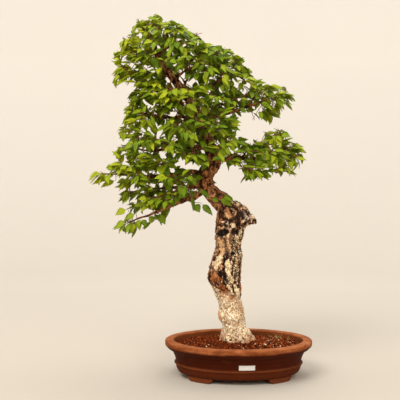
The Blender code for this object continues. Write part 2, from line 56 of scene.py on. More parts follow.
POT_STEPS = 168
POT_SECTION = [            # half length, height, radius of the corner
    (0, 18, 0), (139, 18, 6), (149.6, 58, 10), (152.6, 81, 4), (154.6, 85, 2.4), (174.8, 85, 4.2),
    (174.2, 73.2, 4.2), (167.5, 66.2, 7), (157.2, 59.6, 9), (151.6, 47, 3), (148.7, 37, 3),
    (150.0, 34.6, 1.2), (152.6, 33.2, 1.4), (152.4, 30.6, 1.4), (149.6, 29.6, 1.2), (147.2, 19, 14),
    (143.4, 12.2, 5), (136, 10, 2), (0, 10, 0),
]
CORNER_STEPS = 4
CORNER_ROOM = 0.48         # share of a side that one rounded corner may take up
SEAM = 0.02                # points closer than this are one
CLAY_WOBBLE = 0.25         # half of how far hand work leaves the wall from a true oval
CLAY_WAVE = 38.0           # length of that unevenness
WOBBLE_DOWN = 0.5          # share of it that also goes downwards, above the given height
WOBBLE_FROM = 20.0
SHARP_ANGLE = 40           # degrees from which an edge stays sharp
INNER_WALL = 153.0         # half length of the hollow, the reach that counts as inside, and from what height
INSIDE_REACH = 153.6
INSIDE_FROM = 50.0
FOOT_ANGLES = [48, 132, 228, 312]
FOOT_SPREAD = 14.5         # degrees to either side of a foot's middle
FOOT_STATIONS = 26
FOOT_OUTER = 142.0
FOOT_INNER = 131.0
FOOT_FLAT = 0.74           # share of its half width on which a foot stands
FOOT_LIFT = 8.0            # how far its ends rise, and how late they start to
FOOT_CURVE = 1.7
FOOT_TOP = 13.0
FOOT_EDGE = 1.6            # size of its rounded lower edge, and how much of the corner is gone
FOOT_EDGE_CUT = 0.5
FOOT_DRAFT = 1.5           # how far its front leans in at the top
DRAIN_OUT = 68.0
DRAIN_RADIUS = 11.0
DRAIN_SIDES = 40
DRILL_HEIGHT = 14.0
DRILL_LENGTH = 30.0
# The wall's tone is darker than the clay, with painted shade from the rim above it
CLAY_WALL_SHADED = (0.055, 0.0086, 0.0016)
CLAY_LOWER = (0.090, 0.0180, 0.0046)
CLAY_RIM = (0.255, 0.074, 0.020)
CLAY_INSIDE = (0.165, 0.043, 0.011)
CLAY_BLOOM = (0.36, 0.16, 0.08)
CLAY_FOOT = (0.150, 0.040, 0.012)
RIM_DULL = (0.185, 0.047, 0.012)
RIM_WORN = (0.430, 0.150, 0.050)
# painted highlight on the rim's top face
RIM_HIGHLIGHT = (0.46, 0.17, 0.060)
CLAY_STAIN = (0.05, 0.011, 0.004)
CLAY_PITS = (0.04, 0.010, 0.005)
CLAY_GRAIN = (0.30, 0.11, 0.05)
CLAY_SHINE = 0.05
# Heights in metres between which one tone of the clay gives way to another, as the finish measures them
FOOT_TONE_ENDS = (0.009, 0.013)
LOWER_TONE_ENDS = (0.030, 0.036)
# heights of the painted highlight along the cord
CORD_HIGHLIGHT_STARTS = (0.0296, 0.0312)
CORD_HIGHLIGHT_ENDS = (0.0336, 0.0352)
# the rim's tone starts above its lower edge, so that the edge and the underside keep the wall's painted shade
RIM_LIT_STARTS = (0.0722, 0.0775)
# heights of the painted highlight on the rim's top face
RIM_HIGHLIGHT_STARTS = (0.0825, 0.0852)
CLOUD_REACH = (0.3, 0.7)   # between these lie nearly all values of a cloud of noise


def oval_depth(half_length):
    """The pot's oval: its half depth where its half length is the given one."""
    if half_length < FLOOR_EDGE:
        return half_length * (1 - POT_NARROWING / FLOOR_EDGE)
    return half_length - POT_NARROWING


def eased(corners):
    """A section's points with every corner rounded to the radius that it carries."""
    points = [Vector(corners[0][:2])]
    for before, (x, z, radius), after in zip(corners, corners[1:], corners[2:]):
        here = Vector((x, z))
        back = Vector(before[:2]) - here
        on = Vector(after[:2]) - here
        bend = math.pi - back.angle(on)
        cut = min(radius * math.tan(bend / 2), back.length * CORNER_ROOM, on.length * CORNER_ROOM)
        start = here + back.normalized() * cut
        end = here + on.normalized() * cut
        for step in range(CORNER_STEPS + 1):
            share = step / CORNER_STEPS
            points.append(start.lerp(here, share).lerp(here.lerp(end, share), share))
    return points + [Vector(corners[-1][:2])]


def shaped(piece, kind, **settings):
    """Give the piece a modifier of one kind with its settings."""
    modifier = piece.modifiers.new(kind.lower(), kind)
    for name, value in settings.items():
        setattr(modifier, name, value)


def settled(piece):
    """Fix the piece's modifiers in its mesh."""
    graph = bpy.context.evaluated_depsgraph_get()
    mesh = bpy.data.meshes.new_from_object(piece.evaluated_get(graph))
    piece.modifiers.clear()
    piece.data = mesh
    return piece


def new_piece(name, data):
    piece = bpy.data.objects.new(name, data)
    bpy.context.scene.collection.objects.link(piece)
    return piece


def turned_piece(name, section, steps):
    """A section of distance from the axis against height, turned round the vertical axis."""
    outline = bpy.data.meshes.new(name)
    edges = [(i, i + 1) for i in range(len(section) - 1)]
    outline.from_pydata([(x * MM, 0, z * MM) for x, z in section], edges, [])
    piece = new_piece(name, outline)
    shaped(piece, "SCREW", axis="Z", steps=steps, render_steps=steps, use_merge_vertices=True,
           merge_threshold=SEAM * MM)
    return settled(piece)


def pressed_oval(name, section, steps):
    """A section of half length against height, turned round the pot's middle and pressed to its oval."""
    piece = turned_piece(name, section, steps)
    for vertex in piece.data.vertices:
        reach = vertex.co.xy.length / MM
        if reach > 0:
            vertex.co.y *= oval_depth(reach) / reach
        vertex.co.x += POT_MIDDLE * MM
    return piece


def on_oval(half_length, degrees, height):
    turn = math.radians(degrees)
    x = POT_MIDDLE + half_length * math.cos(turn)
    return Vector((x, oval_depth(half_length) * math.sin(turn), height)) * MM


def lofted(name, rings):
    """A closed mesh through rings of equally many points."""
    body = bmesh.new()
    rows = [[body.verts.new(point) for point in ring] for ring in rings]
    count = len(rows[0])
    for low, high in zip(rows, rows[1:]):
        for i in range(count):
            body.faces.new((low[i], low[(i + 1) % count], high[(i + 1) % count], high[i]))
    body.faces.new(rows[0][::-1])
    body.faces.new(rows[-1])
    bmesh.ops.recalc_face_normals(body, faces=body.faces)
    mesh = bpy.data.meshes.new(name)
    body.to_mesh(mesh)
    body.free()
    return new_piece(name, mesh)


def merged(pieces):
    """Put the meshes of several pieces into the first one."""
    with bpy.context.temp_override(active_object=pieces[0], object=pieces[0], selected_objects=pieces,
                                   selected_editable_objects=pieces):
        bpy.ops.object.join()
    return pieces[0]


def clay_foot(middle):
    rings = []
    for station in range(FOOT_STATIONS + 1):
        part = 2 * station / FOOT_STATIONS - 1
        rise = max(0.0, abs(part) - FOOT_FLAT) / (1 - FOOT_FLAT)
        low = FOOT_LIFT * rise ** FOOT_CURVE
        section = [(FOOT_INNER, low), (FOOT_OUTER - FOOT_EDGE, low),
                   (FOOT_OUTER - FOOT_EDGE_CUT, low + FOOT_EDGE_CUT), (FOOT_OUTER, low + FOOT_EDGE),
                   (FOOT_OUTER - FOOT_DRAFT, FOOT_TOP), (FOOT_INNER, FOOT_TOP)]
        degrees = middle + part * FOOT_SPREAD
        rings.append([on_oval(reach, degrees, height) for reach, height in section])
    return lofted("pot_foot", rings)


def keep_numbers(mesh, numbers):
    """Keep a number for each point of a mesh under each given name, for the finish to read."""
    for key, values in numbers.items():
        mesh.attributes.new(key, "FLOAT", "POINT").data.foreach_set("value", np.asarray(values, np.float32))


class Finish:
    """A finish being mixed: one Principled shader, and short ways to add the nodes that feed it."""

    def __init__(self, name, roughness, shine=0.5):
        self.material = bpy.data.materials.new(name)
        self.material.use_nodes = True
        self.tree = self.material.node_tree
        self.shader = self.tree.nodes["Principled BSDF"]
        self.shader.inputs["Roughness"].default_value = roughness
        self.shader.inputs["Specular IOR Level"].default_value = shine
        self.place = self.node("TexCoord").outputs["Object"]

    def node(self, kind, feeds=(), **settings):
        made = self.tree.nodes.new("ShaderNode" + kind)
        for name, value in settings.items():
            setattr(made, name, value)
        for socket, value in dict(feeds).items():
            self.feed(made.inputs[socket], value)
        return made

    def feed(self, socket, value):
        if isinstance(value, bpy.types.NodeSocket):
            self.tree.links.new(value, socket)
        else:
            socket.default_value = value

    def cloud(self, size, detail=4.0, rough=0.55, place=None):
        """Soft noise from 0 to 1 whose features have the given size in mm."""
        feeds = {"Vector": place or self.place, "Scale": 1 / MM / size, "Detail": detail, "Roughness": rough}
        return self.node("TexNoise", feeds).outputs["Fac"]

    def cells(self, size):
        """Distance within a pattern of cells of the given size in mm."""
        return self.node("TexVoronoi", {"Vector": self.place, "Scale": 1 / MM / size}).outputs["Distance"]

    def ranged(self, value, low, high, start=0.0, end=1.0):
        feeds = {"Value": value, "From Min": low, "From Max": high, "To Min": start, "To Max": end}
        return self.node("MapRange", feeds).outputs["Result"]

    def maths(self, operation, first, second):
        return self.node("Math", {0: first, 1: second}, operation=operation).outputs[0]

    def spread(self, cloud, start, end):
        """A cloud of noise, stretched to lie between two values."""
        return self.ranged(cloud, *CLOUD_REACH, start, end)

    def frayed(self, value, cloud, reach):
        """A value that a cloud of noise shifts by up to the given reach either way."""
        return self.maths("ADD", value, self.spread(cloud, -reach, reach))

    def stretched(self, x, y, z):
        """Places for a pattern that is drawn out or pressed together along each axis."""
        return self.node("Mapping", {"Vector": self.place, "Scale": (x, y, z)}).outputs["Vector"]

    def toned(self, value, stops):
        """Colours or greys laid along a value, from (place, colour) stops."""
        ramp = self.node("ValToRGB", {"Fac": value})
        ramp.color_ramp.elements[0].position = stops[0][0]
        ramp.color_ramp.elements[0].color = (*stops[0][1], 1)
        ramp.color_ramp.elements[1].position = stops[-1][0]
        ramp.color_ramp.elements[1].color = (*stops[-1][1], 1)
        for place, colour in stops[1:-1]:
            ramp.color_ramp.elements.new(place).color = (*colour, 1)
        return ramp.outputs["Color"]

    def mixed(self, share, under, over, way="MIX"):
        under = (*under, 1) if isinstance(under, tuple) else under
        over = (*over, 1) if isinstance(over, tuple) else over
        made = self.node("Mix", data_type="RGBA", blend_type=way)
        for socket, value in zip((made.inputs[0], made.inputs[6], made.inputs[7]), (share, under, over)):
            self.feed(socket, value)
        return made.outputs[2]

    def measured(self, attribute):
        return self.node("Attribute", attribute_name=attribute).outputs["Fac"]

    def height(self):
        return self.node("SeparateXYZ", {0: self.place}).outputs["Z"]

    def relief(self, heights, depth, strength=1.0):
        """Bump of the given depth in mm from a field of heights."""
        made = self.node("Bump", {"Height": heights, "Distance": depth * MM, "Strength": strength})
        self.feed(self.shader.inputs["Normal"], made.outputs["Normal"])

    def colour(self, value):
        self.feed(self.shader.inputs["Base Color"], value)

    def roughness(self, value):
        self.feed(self.shader.inputs["Roughness"], value)


def fired_clay():
    clay = Finish("fired_clay", 0.7, CLAY_SHINE)
    broad = clay.cloud(46, 5, 0.6)
    fine = clay.cloud(4.5, 6, 0.65)
    height = clay.height()
    uneven = clay.frayed(height, broad, 0.003)
    # painted shade from the rim: the wall above the cord takes the dark shaded tone, and below the cord the lower tone
    wall = clay.mixed(clay.ranged(uneven, *LOWER_TONE_ENDS, 1, 0), CLAY_WALL_SHADED, CLAY_LOWER)
    # painted highlight along the cord, in the rim's tone
    cord = clay.maths("MULTIPLY", clay.ranged(height, *CORD_HIGHLIGHT_STARTS), clay.ranged(height, *CORD_HIGHLIGHT_ENDS, 1, 0))
    wall = clay.mixed(clay.maths("MULTIPLY", cord, 0.34), wall, CLAY_RIM)
    wall = clay.mixed(clay.ranged(height, *FOOT_TONE_ENDS, 1, 0), wall, CLAY_FOOT)
    worn = clay.ranged(clay.cloud(15, 5, 0.62, clay.stretched(0.5, 0.5, 1.3)), 0.40, 0.64)
    rim = clay.mixed(worn, RIM_DULL, RIM_WORN)
    # painted highlight on the rim's top face
    rim = clay.mixed(clay.ranged(height, *RIM_HIGHLIGHT_STARTS, 0.0, 0.30), rim, RIM_HIGHLIGHT)
    # the rim's lit faces take the rim's tone; its lower edge and underside keep the wall's painted shade
    body = clay.mixed(clay.ranged(uneven, *RIM_LIT_STARTS), wall, clay.mixed(0.15, rim, CLAY_RIM))
    body = clay.mixed(clay.measured("inside"), body, CLAY_INSIDE)
    body = clay.mixed(clay.ranged(broad, 0.35, 0.75, 0.0, 0.32), body, CLAY_STAIN)
    bloom = clay.maths("MULTIPLY", clay.ranged(clay.cloud(17, 6, 0.7), 0.58, 0.78), 0.12)
    body = clay.mixed(bloom, body, CLAY_BLOOM)
    grains = clay.ranged(clay.cells(2.2), 0.0, 0.16, 0.55, 0.0)
    body = clay.mixed(grains, body, CLAY_PITS)
    clay.colour(clay.mixed(clay.spread(fine, 0.0, 0.30), body, CLAY_GRAIN, "OVERLAY"))
    clay.roughness(clay.spread(broad, 0.56, 0.8))
    clay.relief(clay.maths("ADD", fine, clay.maths("MULTIPLY", clay.cloud(1.2, 3), 0.5)), 0.35, 0.55)
    return clay.material


pot = pressed_oval("pot_body", eased(POT_SECTION), POT_STEPS)
for vertex in pot.data.vertices:
    spot = vertex.co / MM
    lean = (noise.noise(spot / CLAY_WAVE) - 1) * CLAY_WOBBLE
    away = Vector((spot.x - POT_MIDDLE, spot.y, 0)).normalized()
    vertex.co += (away + UP * (WOBBLE_DOWN if spot.z > WOBBLE_FROM else 0)) * lean * MM
drain_drills = []
for drain_side in (-1, 1):
    middle = Vector((POT_MIDDLE + drain_side * DRAIN_OUT, 0, DRILL_HEIGHT)) * MM
    bpy.ops.mesh.primitive_cylinder_add(vertices=DRAIN_SIDES, radius=DRAIN_RADIUS * MM,
                                        depth=DRILL_LENGTH * MM, location=middle)
    drain_drills.append(bpy.context.active_object)
    shaped(pot, "BOOLEAN", operation="DIFFERENCE", object=drain_drills[-1])
bpy.context.view_layer.update()
settled(pot)
for drill in drain_drills:
    bpy.data.objects.remove(drill)
pot = merged([pot] + [clay_foot(middle) for middle in FOOT_ANGLES])
inside = []
for vertex in pot.data.vertices:
    spot = vertex.co / MM
    across = math.hypot(spot.x - POT_MIDDLE, spot.y * INNER_WALL / oval_depth(INNER_WALL))
    inside.append(across < INSIDE_REACH and spot.z > INSIDE_FROM)
keep_numbers(pot.data, {"inside": inside})
pot.data.shade_smooth()
pot.data.set_sharp_from_angle(angle=math.radians(SHARP_ANGLE))
pot.data.materials.append(fired_clay())
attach(pot, "root")
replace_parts(pot, "pot")

# The drainage screens
# Two squares of moulded plastic mesh, laid over the holes in the pot's floor before the soil goes in, so
# that grit stays in and water runs out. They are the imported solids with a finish.
SCREEN_GREEN = (0.020, 0.050, 0.030)
SCREEN_DUSTY = (0.045, 0.075, 0.050)


def moulded_plastic():
    plastic = Finish("moulded_plastic", 0.45)
    plastic.colour(plastic.mixed(plastic.cloud(9, 3), SCREEN_GREEN, SCREEN_DUSTY))
    plastic.roughness(plastic.spread(plastic.cloud(3, 3), 0.38, 0.6))
    plastic.relief(plastic.cloud(1.1, 2), 0.1, 0.5)
    return plastic.material


def refinished(name, finish):
    """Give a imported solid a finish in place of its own."""
    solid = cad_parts[name]
    for slot in solid.material_slots:
        slot.material = finish
    if not solid.material_slots:
        solid.data.materials.append(finish)


screen_plastic = moulded_plastic()
for screen in ("screen_left", "screen_right"):
    refinished(screen, screen_plastic)

# The soil
# Fired clay granules, two to five millimetres across, red-brown with some pale grit, tamped round the roots
# and mounded up to the trunk. The bed carries them, and the granules lie loose in its surface.
SOIL_EDGE = 151
SOIL_PROFILE = ([0, 58, 112, SOIL_EDGE], [83, 81, 76, 72])      # half length, height of the surface
SOIL_BELOW = [(149.4, 60), (138.2, 18.8), (0, 18.8)]
SOIL_ROWS = 46
SOIL_LUMPS = [(15, 1.1), (5.2, 0.8)]    # size and height of the bed's lumps
BED_SHADE = 0.16
GRANULE_SPACING = 3.05
ROW_SPACING = 0.87                      # between rows, against the spacing in a row
GRANULE_LOOSE = 1.15
GRANULE_SIZES = (1.0, 2.25)             # radius
GRANULE_EDGE = 148.6                    # half length of the oval that they fill
GRANULE_BREAKS = (0.72, 1.18)           # how far each corner is from the middle, against the radius
GRANULE_SQUASH = (0.72, 1.12)
SECOND_LAYER = 0.13                     # share of places with a smaller granule on top
SECOND_SIZE = 0.85
LAYER_RISES = (0.15, 0.9)               # how far a granule's middle lies above the bed, against its radius
BARE_ROUND_STOCK = 27.0
PALE_GRIT = 0.017
PALE_GRIT_LEFT = 0.45                   # how much less of it lies in the left half
GRIT_TONES = [(0.955, (0.52, 0.36, 0.23)), (1.0, (0.88, 0.70, 0.48))]
SOIL_SEED = 5
# Weed seedlings at the edge: x, y, height
WEEDS = [(190, 30, 17), (182, 42, 13), (204, 16, 15), (164, 58, 10), (172, -34, 7), (22, -58, 7), (40, 52, 9)]
WEED_BLADES = 3                         # to a seedling, each shorter than the one before by the given share
WEED_SHORTER = 0.2
WEED_APART = 1.5
WEED_STEPS = 5
WEED_WIDTH = 0.6
WEED_TIP = 0.05
WEED_THICK = 0.14
WEED_LEAN = 0.6                         # how far its tip leans over, against its length


def soil_height(x, y):
    """The soil's surface at a place, from how far out in the pot's oval it lies."""
    across = math.hypot(x - POT_MIDDLE, y / (1 - POT_NARROWING / SOIL_EDGE))
    level = float(np.interp(across, *SOIL_PROFILE))
    for size, height in SOIL_LUMPS:
        level += noise.noise((x / size, y / size, size)) * height
    return level


def mesh_from(name, points, faces, numbers=None):
    """A mesh from lists of points in mm, with numbers kept for each point."""
    mesh = bpy.data.meshes.new(name)
    mesh.from_pydata((np.asarray(points) * MM).tolist(), [], faces)
    keep_numbers(mesh, numbers or {})
    mesh.update()
    return mesh


def ring_faces(rings, sides):
    """The faces between rings of equally many points, ring by ring."""
    return [[ring * sides + side, ring * sides + (side + 1) % sides,
             (ring + 1) * sides + (side + 1) % sides, (ring + 1) * sides + side]
            for ring in range(rings - 1) for side in range(sides)]


def ring_caps(rings, sides):
    """The two faces that close the first and the last ring."""
    return [list(range(sides))[::-1], list(range((rings - 1) * sides, rings * sides))]


def gathered(parts):
    """The points and faces of several parts, as those of one."""
    points, faces = [], []
    for part_points, part_faces in parts:
        faces += [[corner + len(points) for corner in face] for face in part_faces]
        points += [tuple(point) for point in part_points]
    return points, faces


def crumb_finish(name, dark, middle, light):
    """Porous fired clay: dull, pitted, a little different from crumb to crumb, with some pale grit."""
    crumb = Finish(name, 0.95, 0.02)
    shade = crumb.frayed(crumb.measured("crumb"), crumb.cloud(2.4, 4), 0.16)
    crumb.colour(crumb.toned(shade, [(0.0, dark), (0.45, middle), (0.80, light), (0.93, light)] + GRIT_TONES))
    crumb.relief(crumb.cloud(0.9, 3), 0.3, 0.8)
    return crumb.material


soil_section = [(reach, 0) for reach in np.linspace(0, SOIL_EDGE, SOIL_ROWS)] + SOIL_BELOW
soil = pressed_oval("soil_bed", soil_section, POT_STEPS)
for vertex in soil.data.vertices:
    if vertex.co.z < MM:
        vertex.co.z = soil_height(vertex.co.x / MM, vertex.co.y / MM) * MM
keep_numbers(soil.data, {"crumb": [BED_SHADE] * len(soil.data.vertices)})
soil.data.shade_smooth()
soil.data.materials.append(crumb_finish("soil_bed", (0.010, 0.003, 0.001), (0.045, 0.009, 0.003),
                                        (0.10, 0.026, 0.008)))
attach(soil, "root")
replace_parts(soil, "soil")

draws = np.random.default_rng(SOIL_SEED)
granule_spots = []
across_count = int(2 * GRANULE_EDGE / GRANULE_SPACING) + 1
for row in range(across_count):
    for column in range(across_count):
        jitter = draws.uniform(-GRANULE_LOOSE, GRANULE_LOOSE, 2)
        x = (column + 0.5 * (row % 2)) * GRANULE_SPACING - GRANULE_EDGE + jitter[0]
        y = row * GRANULE_SPACING * ROW_SPACING - GRANULE_EDGE * ROW_SPACING + jitter[1]
        layer = draws.random() < SECOND_LAYER
        size = draws.uniform(*GRANULE_SIZES) * (SECOND_SIZE if layer else 1)
        inside = (x / (GRANULE_EDGE - size)) ** 2 + (y / (oval_depth(GRANULE_EDGE) - size)) ** 2 < 1
        if inside and math.hypot(x, y) > BARE_ROUND_STOCK:
            level = soil_height(x + POT_MIDDLE, y) + size * LAYER_RISES[layer]
            granule_spots.append((x + POT_MIDDLE, y, level, size))
granule_spots = np.array(granule_spots)
body = bmesh.new()
bmesh.ops.create_icosphere(body, subdivisions=1, radius=1)
ball = np.array([vertex.co for vertex in body.verts])
ball_faces = np.array([[vertex.index for vertex in face.verts] for face in body.faces])
body.free()
count = len(granule_spots)
broken = ball[None] * draws.uniform(*GRANULE_BREAKS, (count, len(ball), 1))
broken = broken * draws.uniform(*GRANULE_SQUASH, (count, 1, 3))
turns = draws.uniform(0, 2 * math.pi, (count, 2))
cosine, sine = np.cos(turns), np.sin(turns)
x, y, z = np.moveaxis(broken, 2, 0)
x, y = x * cosine[:, :1] - y * sine[:, :1], x * sine[:, :1] + y * cosine[:, :1]
y, z = y * cosine[:, 1:] - z * sine[:, 1:], y * sine[:, 1:] + z * cosine[:, 1:]
granule_points = np.stack([x, y, z], 2) * granule_spots[:, None, 3:] + granule_spots[:, None, :3]
granule_faces = ball_faces[None] + (np.arange(count) * len(ball))[:, None, None]
shades = draws.beta(1.5, 2.1, count) * 0.90
shades[draws.random(count) < PALE_GRIT * (PALE_GRIT_LEFT + (granule_spots[:, 0] > POT_MIDDLE))] = 1.0
granules = new_piece("soil_granules", mesh_from("soil_granules", granule_points.reshape(-1, 3),
                                                granule_faces.reshape(-1, 3).tolist(),
                                                {"crumb": np.repeat(shades, len(ball))}))
granules.data.materials.append(crumb_finish("soil_granules", (0.015, 0.004, 0.002), (0.118, 0.020, 0.004),
                                            (0.35, 0.082, 0.022)))
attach(granules, "root")


def weed_blade(x, y, length, draw):
    """A seedling blade: a narrow, folded strip that bends over, as points and faces."""
    lean_x, lean_y = draw.uniform(-1, 1), draw.uniform(-1, 1)
    points = []
    for step in range(WEED_STEPS + 1):
        share = step / WEED_STEPS
        width = WEED_WIDTH * (1 - share) ** 0.7 + WEED_TIP
        middle = Vector((x + lean_x * length * share ** 2 * WEED_LEAN, y + lean_y * length * share ** 2 * WEED_LEAN,
                         soil_height(x, y) - 1 + length * share))
        across = Vector((-lean_y, lean_x, 0)).normalized() * width
        thick = Vector((lean_x, lean_y, 0)).normalized() * WEED_THICK
        points += [middle - across, middle - thick, middle + across, middle + thick]
    return points, ring_faces(WEED_STEPS + 1, 4) + ring_caps(WEED_STEPS + 1, 4)


weed_parts = []
for x, y, length in WEEDS:
    weed_draw = random.Random(x * 7 + y)
    for blade in range(WEED_BLADES):
        weed_parts.append(weed_blade(x + blade * WEED_APART, y + weed_draw.uniform(-2, 2),
                                     length * (1 - WEED_SHORTER * blade), weed_draw))
weeds = new_piece("weed_blades", mesh_from("weed_blades", *gathered(weed_parts)))
weed_green = Finish("weed_green", 0.5)
weed_green.colour(weed_green.mixed(weed_green.cloud(6), (0.16, 0.20, 0.04), (0.42, 0.42, 0.13)))
weeds.data.materials.append(weed_green.material)
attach(weeds, "root")

# The tree
# One old hornbeam: roots that grip the soil, a trunk half alive and half bleached deadwood with hollows, cracks
# and dark crusts, a broken stub, and the arm that leans left and carries the branches.
TRUNK_SECTIONS = [        # height, middle x and y, radius
    (58, 86, 0, 34), (84, 86, 0, 34), (92, 83.5, 0, 32.5), (101, 81.5, 0, 30), (114, 77, 0, 26.7),
    (127, 74, 0, 28), (140, 71.7, 0, 29), (153, 70.5, 0, 27.9), (166, 68.5, 0, 27.8), (179, 66, -1, 28.3),
    (192, 63, -2, 30.5), (204, 60.3, -3, 33.1), (217, 56, -3, 37), (230, 52.4, -3, 39.3),
    (243, 53.5, -2, 38), (256, 55.5, 0, 36.2), (269, 59, 1, 35.8), (282, 62.2, 2, 35), (295, 62.8, 2, 31.5),
    (308, 62.6, 1, 29), (321, 63.5, 0, 30.5), (334, 64.6, -1, 33), (347, 66, -1, 34), (359, 71.7, 0, 38.1),
    (372, 76, 0, 40.5), (385, 75.7, 0, 38.1), (398, 70.5, 0, 34), (407, 67, 0, 27), (412, 65, 0, 17),
]
TRUNK_SIDES = 90
TRUNK_RISE = 3.5          # height of one ring of the trunk's body
ROOT_LOBES = [4, 62, 124, 183, 236, 304]      # degrees round the trunk
ROOT_LOBE_SIZE = 9.5
ROOT_LOBE_WIDTH = 15.0
ROOT_LOBE_FULL = 84.0      # up to this height the lobes have their full size, and they end at the next
ROOT_LOBE_TOP = 128.0
BARK_FORMS = [            # degrees round, height, half width, half height, how far out
    (262, 232, 26, 26, 4.0), (300, 262, 20, 24, 4.5), (236, 304, 24, 14, -4.5), (222, 262, 20, 20, 3.5),
    (270, 203, 22, 16, -5.0), (318, 312, 22, 14, -4.0), (335, 340, 22, 16, 1.5), (250, 352, 22, 18, 4.5),
    (200, 140, 26, 12, 4.0), (262, 180, 20, 22, 2.5), (310, 160, 22, 22, -2.5), (90, 220, 30, 36, 4.0),
    (60, 330, 30, 30, 4.0), (130, 300, 26, 26, -4.0), (20, 190, 24, 20, -3.0), (285, 118, 14, 18, -4.0),
    (215, 388, 26, 16, 4.0), (100, 150, 26, 26, -3.0),
]
STUB = [(90, -6, 378), (110, -9, 370), (130, -10, 363)]
STUB_RADII = [16, 14, 5]
LEADER = [
    (70, 0, 376), (51, 0, 407), (31, 0, 424), (18, 0, 437), (10, 0, 450), (6, 0, 466), (14, 0, 485),
    (27, 0, 501), (24, 2, 528), (12, 3, 558), (-4, 3, 601), (-21, 2, 639), (-43, 0, 672), (-62, 0, 696),
    (-86, 0, 729), (-107, 0, 760), (-112, 0, 788), (-106, 0, 808),
]
LEADER_RADII = [20, 24, 20, 18, 19, 20, 19.5, 18, 16.6, 15, 13.6, 12.4, 11, 9.5, 8, 6.2, 4.4, 2.2]
BRANCHES = {              # points, radius at the trunk and at the tip, and how many side shoots each one carries
    "low_left": ([(12, 0, 446), (-15, -10, 424), (-43, -20, 414), (-84, -30, 399), (-116, -38, 382),
                  (-148, -42, 373)], 8.0, 2.0, 2),
    "low_left_back": ([(14, 6, 452), (-41, 28, 446), (-92, 40, 444), (-138, 46, 440)], 6.0, 2.0, 1),
    "left_long": ([(12, -3, 474), (-28, -15, 481), (-84, -25, 471), (-140, -32, 469), (-188, -34, 474)],
                  7.0, 2.0, 3),
    "left_front": ([(9, -6, 460), (-21, -26, 448), (-50, -42, 438), (-74, -50, 431)], 5.0, 2.0, 1),
    "left_mid": ([(18, 0, 536), (-28, 8, 544), (-76, 8, 539), (-118, 0, 532), (-154, -6, 537)], 6.5, 2.0, 2),
    "right_low": ([(25, 3, 508), (79, 0, 515), (126, -10, 512), (166, -14, 522)], 7.0, 2.0, 2),
    "right_low_front": ([(25, -4, 514), (56, -28, 506), (84, -44, 497)], 5.0, 2.0, 1),
    "front_mid": ([(15, -4, 541), (6, -30, 540), (-6, -48, 534)], 5.0, 2.0, 1),
    "right_mid": ([(0, 3, 596), (29, 5, 613), (81, 0, 627), (120, -10, 641), (150, -14, 651)], 6.0, 2.0, 2),
    "left_mid_up": ([(-4, 2, 600), (-40, -12, 611), (-84, -22, 608), (-120, -28, 615)], 5.5, 2.0, 1),
    "front_mid_up": ([(-11, 0, 619), (-22, -30, 617), (-32, -48, 608)], 4.5, 2.0, 1),
    "right_up": ([(-37, 0, 664), (-4, -5, 674), (31, -12, 691), (62, -18, 706)], 5.0, 1.8, 2),
    "left_up": ([(-44, 0, 674), (-88, -5, 676), (-118, -12, 667)], 4.5, 1.8, 2),
    "back_low": ([(22, 6, 526), (12, 34, 541), (-6, 50, 553)], 5.0, 1.8, 1),
    "back_mid": ([(-12, 4, 624), (6, 34, 634), (24, 50, 645)], 4.5, 1.8, 1),
    "back_up": ([(-48, 3, 681), (-38, 30, 702), (-30, 48, 722)], 4.0, 1.8, 1),
    "high_right": ([(-68, 0, 706), (-33, -5, 724), (4, -10, 740)], 4.0, 1.8, 1),
    "high_left": ([(-82, 0, 724), (-112, -5, 716), (-138, -12, 719)], 3.6, 1.8, 2),
    "apex_right": ([(-106, 0, 762), (-71, -5, 781), (-44, -5, 797)], 3.2, 1.6, 1),
    "apex_left": ([(-109, 0, 769), (-130, -5, 781), (-146, -10, 786)], 2.8, 1.6, 1),
    "front_up": ([(-66, -2, 700), (-70, -26, 696), (-73, -44, 686)], 3.6, 1.8, 1),
}
LIMB_SIDES = 12            # corners of a branch's section, of the leader's and of the stub's
LEADER_SIDES = 28
STUB_SIDES = 20
ROUTE_STEPS = 4            # stretches of smooth route between two points of a branch, as in the solids
FORK_FIRST = 0.42          # where along a branch its side shoots start, and over how much of it they are spread
FORK_SPREAD = 0.44
FORK_LENGTH = 34.0
FORK_LENGTHS = (1.12, 0.3)     # side shoots start at the first share of that length and lose the second outwards
FORK_ANGLE = 52.0
FORK_LIFTS = [0.75, 0.1, 0.45]
FORK_ARCH = 1.5
FORK_RADII = (2.6, 1.8)
SHOOT_LENGTH = 46.0
SIDE_SHOOT_LENGTH = 0.9        # of the leafy shoot on a side shoot, against that
LEADER_TIP_SHOOT = 24.0
SHOOT_REACH = 95.0         # how far before or behind the trunk a shoot's stem may end
CROOK = 1.6                # how far a limb wanders from its smooth route, against its radius
KNUCKLES = 0.16            # how much a limb swells and thins along its way
CROOK_WAVE = 17.0          # length of the crooks, and the most that they may reach
CROOK_MOST = 3.0
KNUCKLE_WAVE = 8.0
WOOD_GRAIN = 1.62          # size of the wood's finest modelled form
RELIEF_RANGE = (-0.42, 0.3)    # how far in and out the relief may go, against the limb's thickness
RELIEF_SPARE = 3.0
RELIEF_FROM = (60, 78)         # it sets in between these heights, at the soil
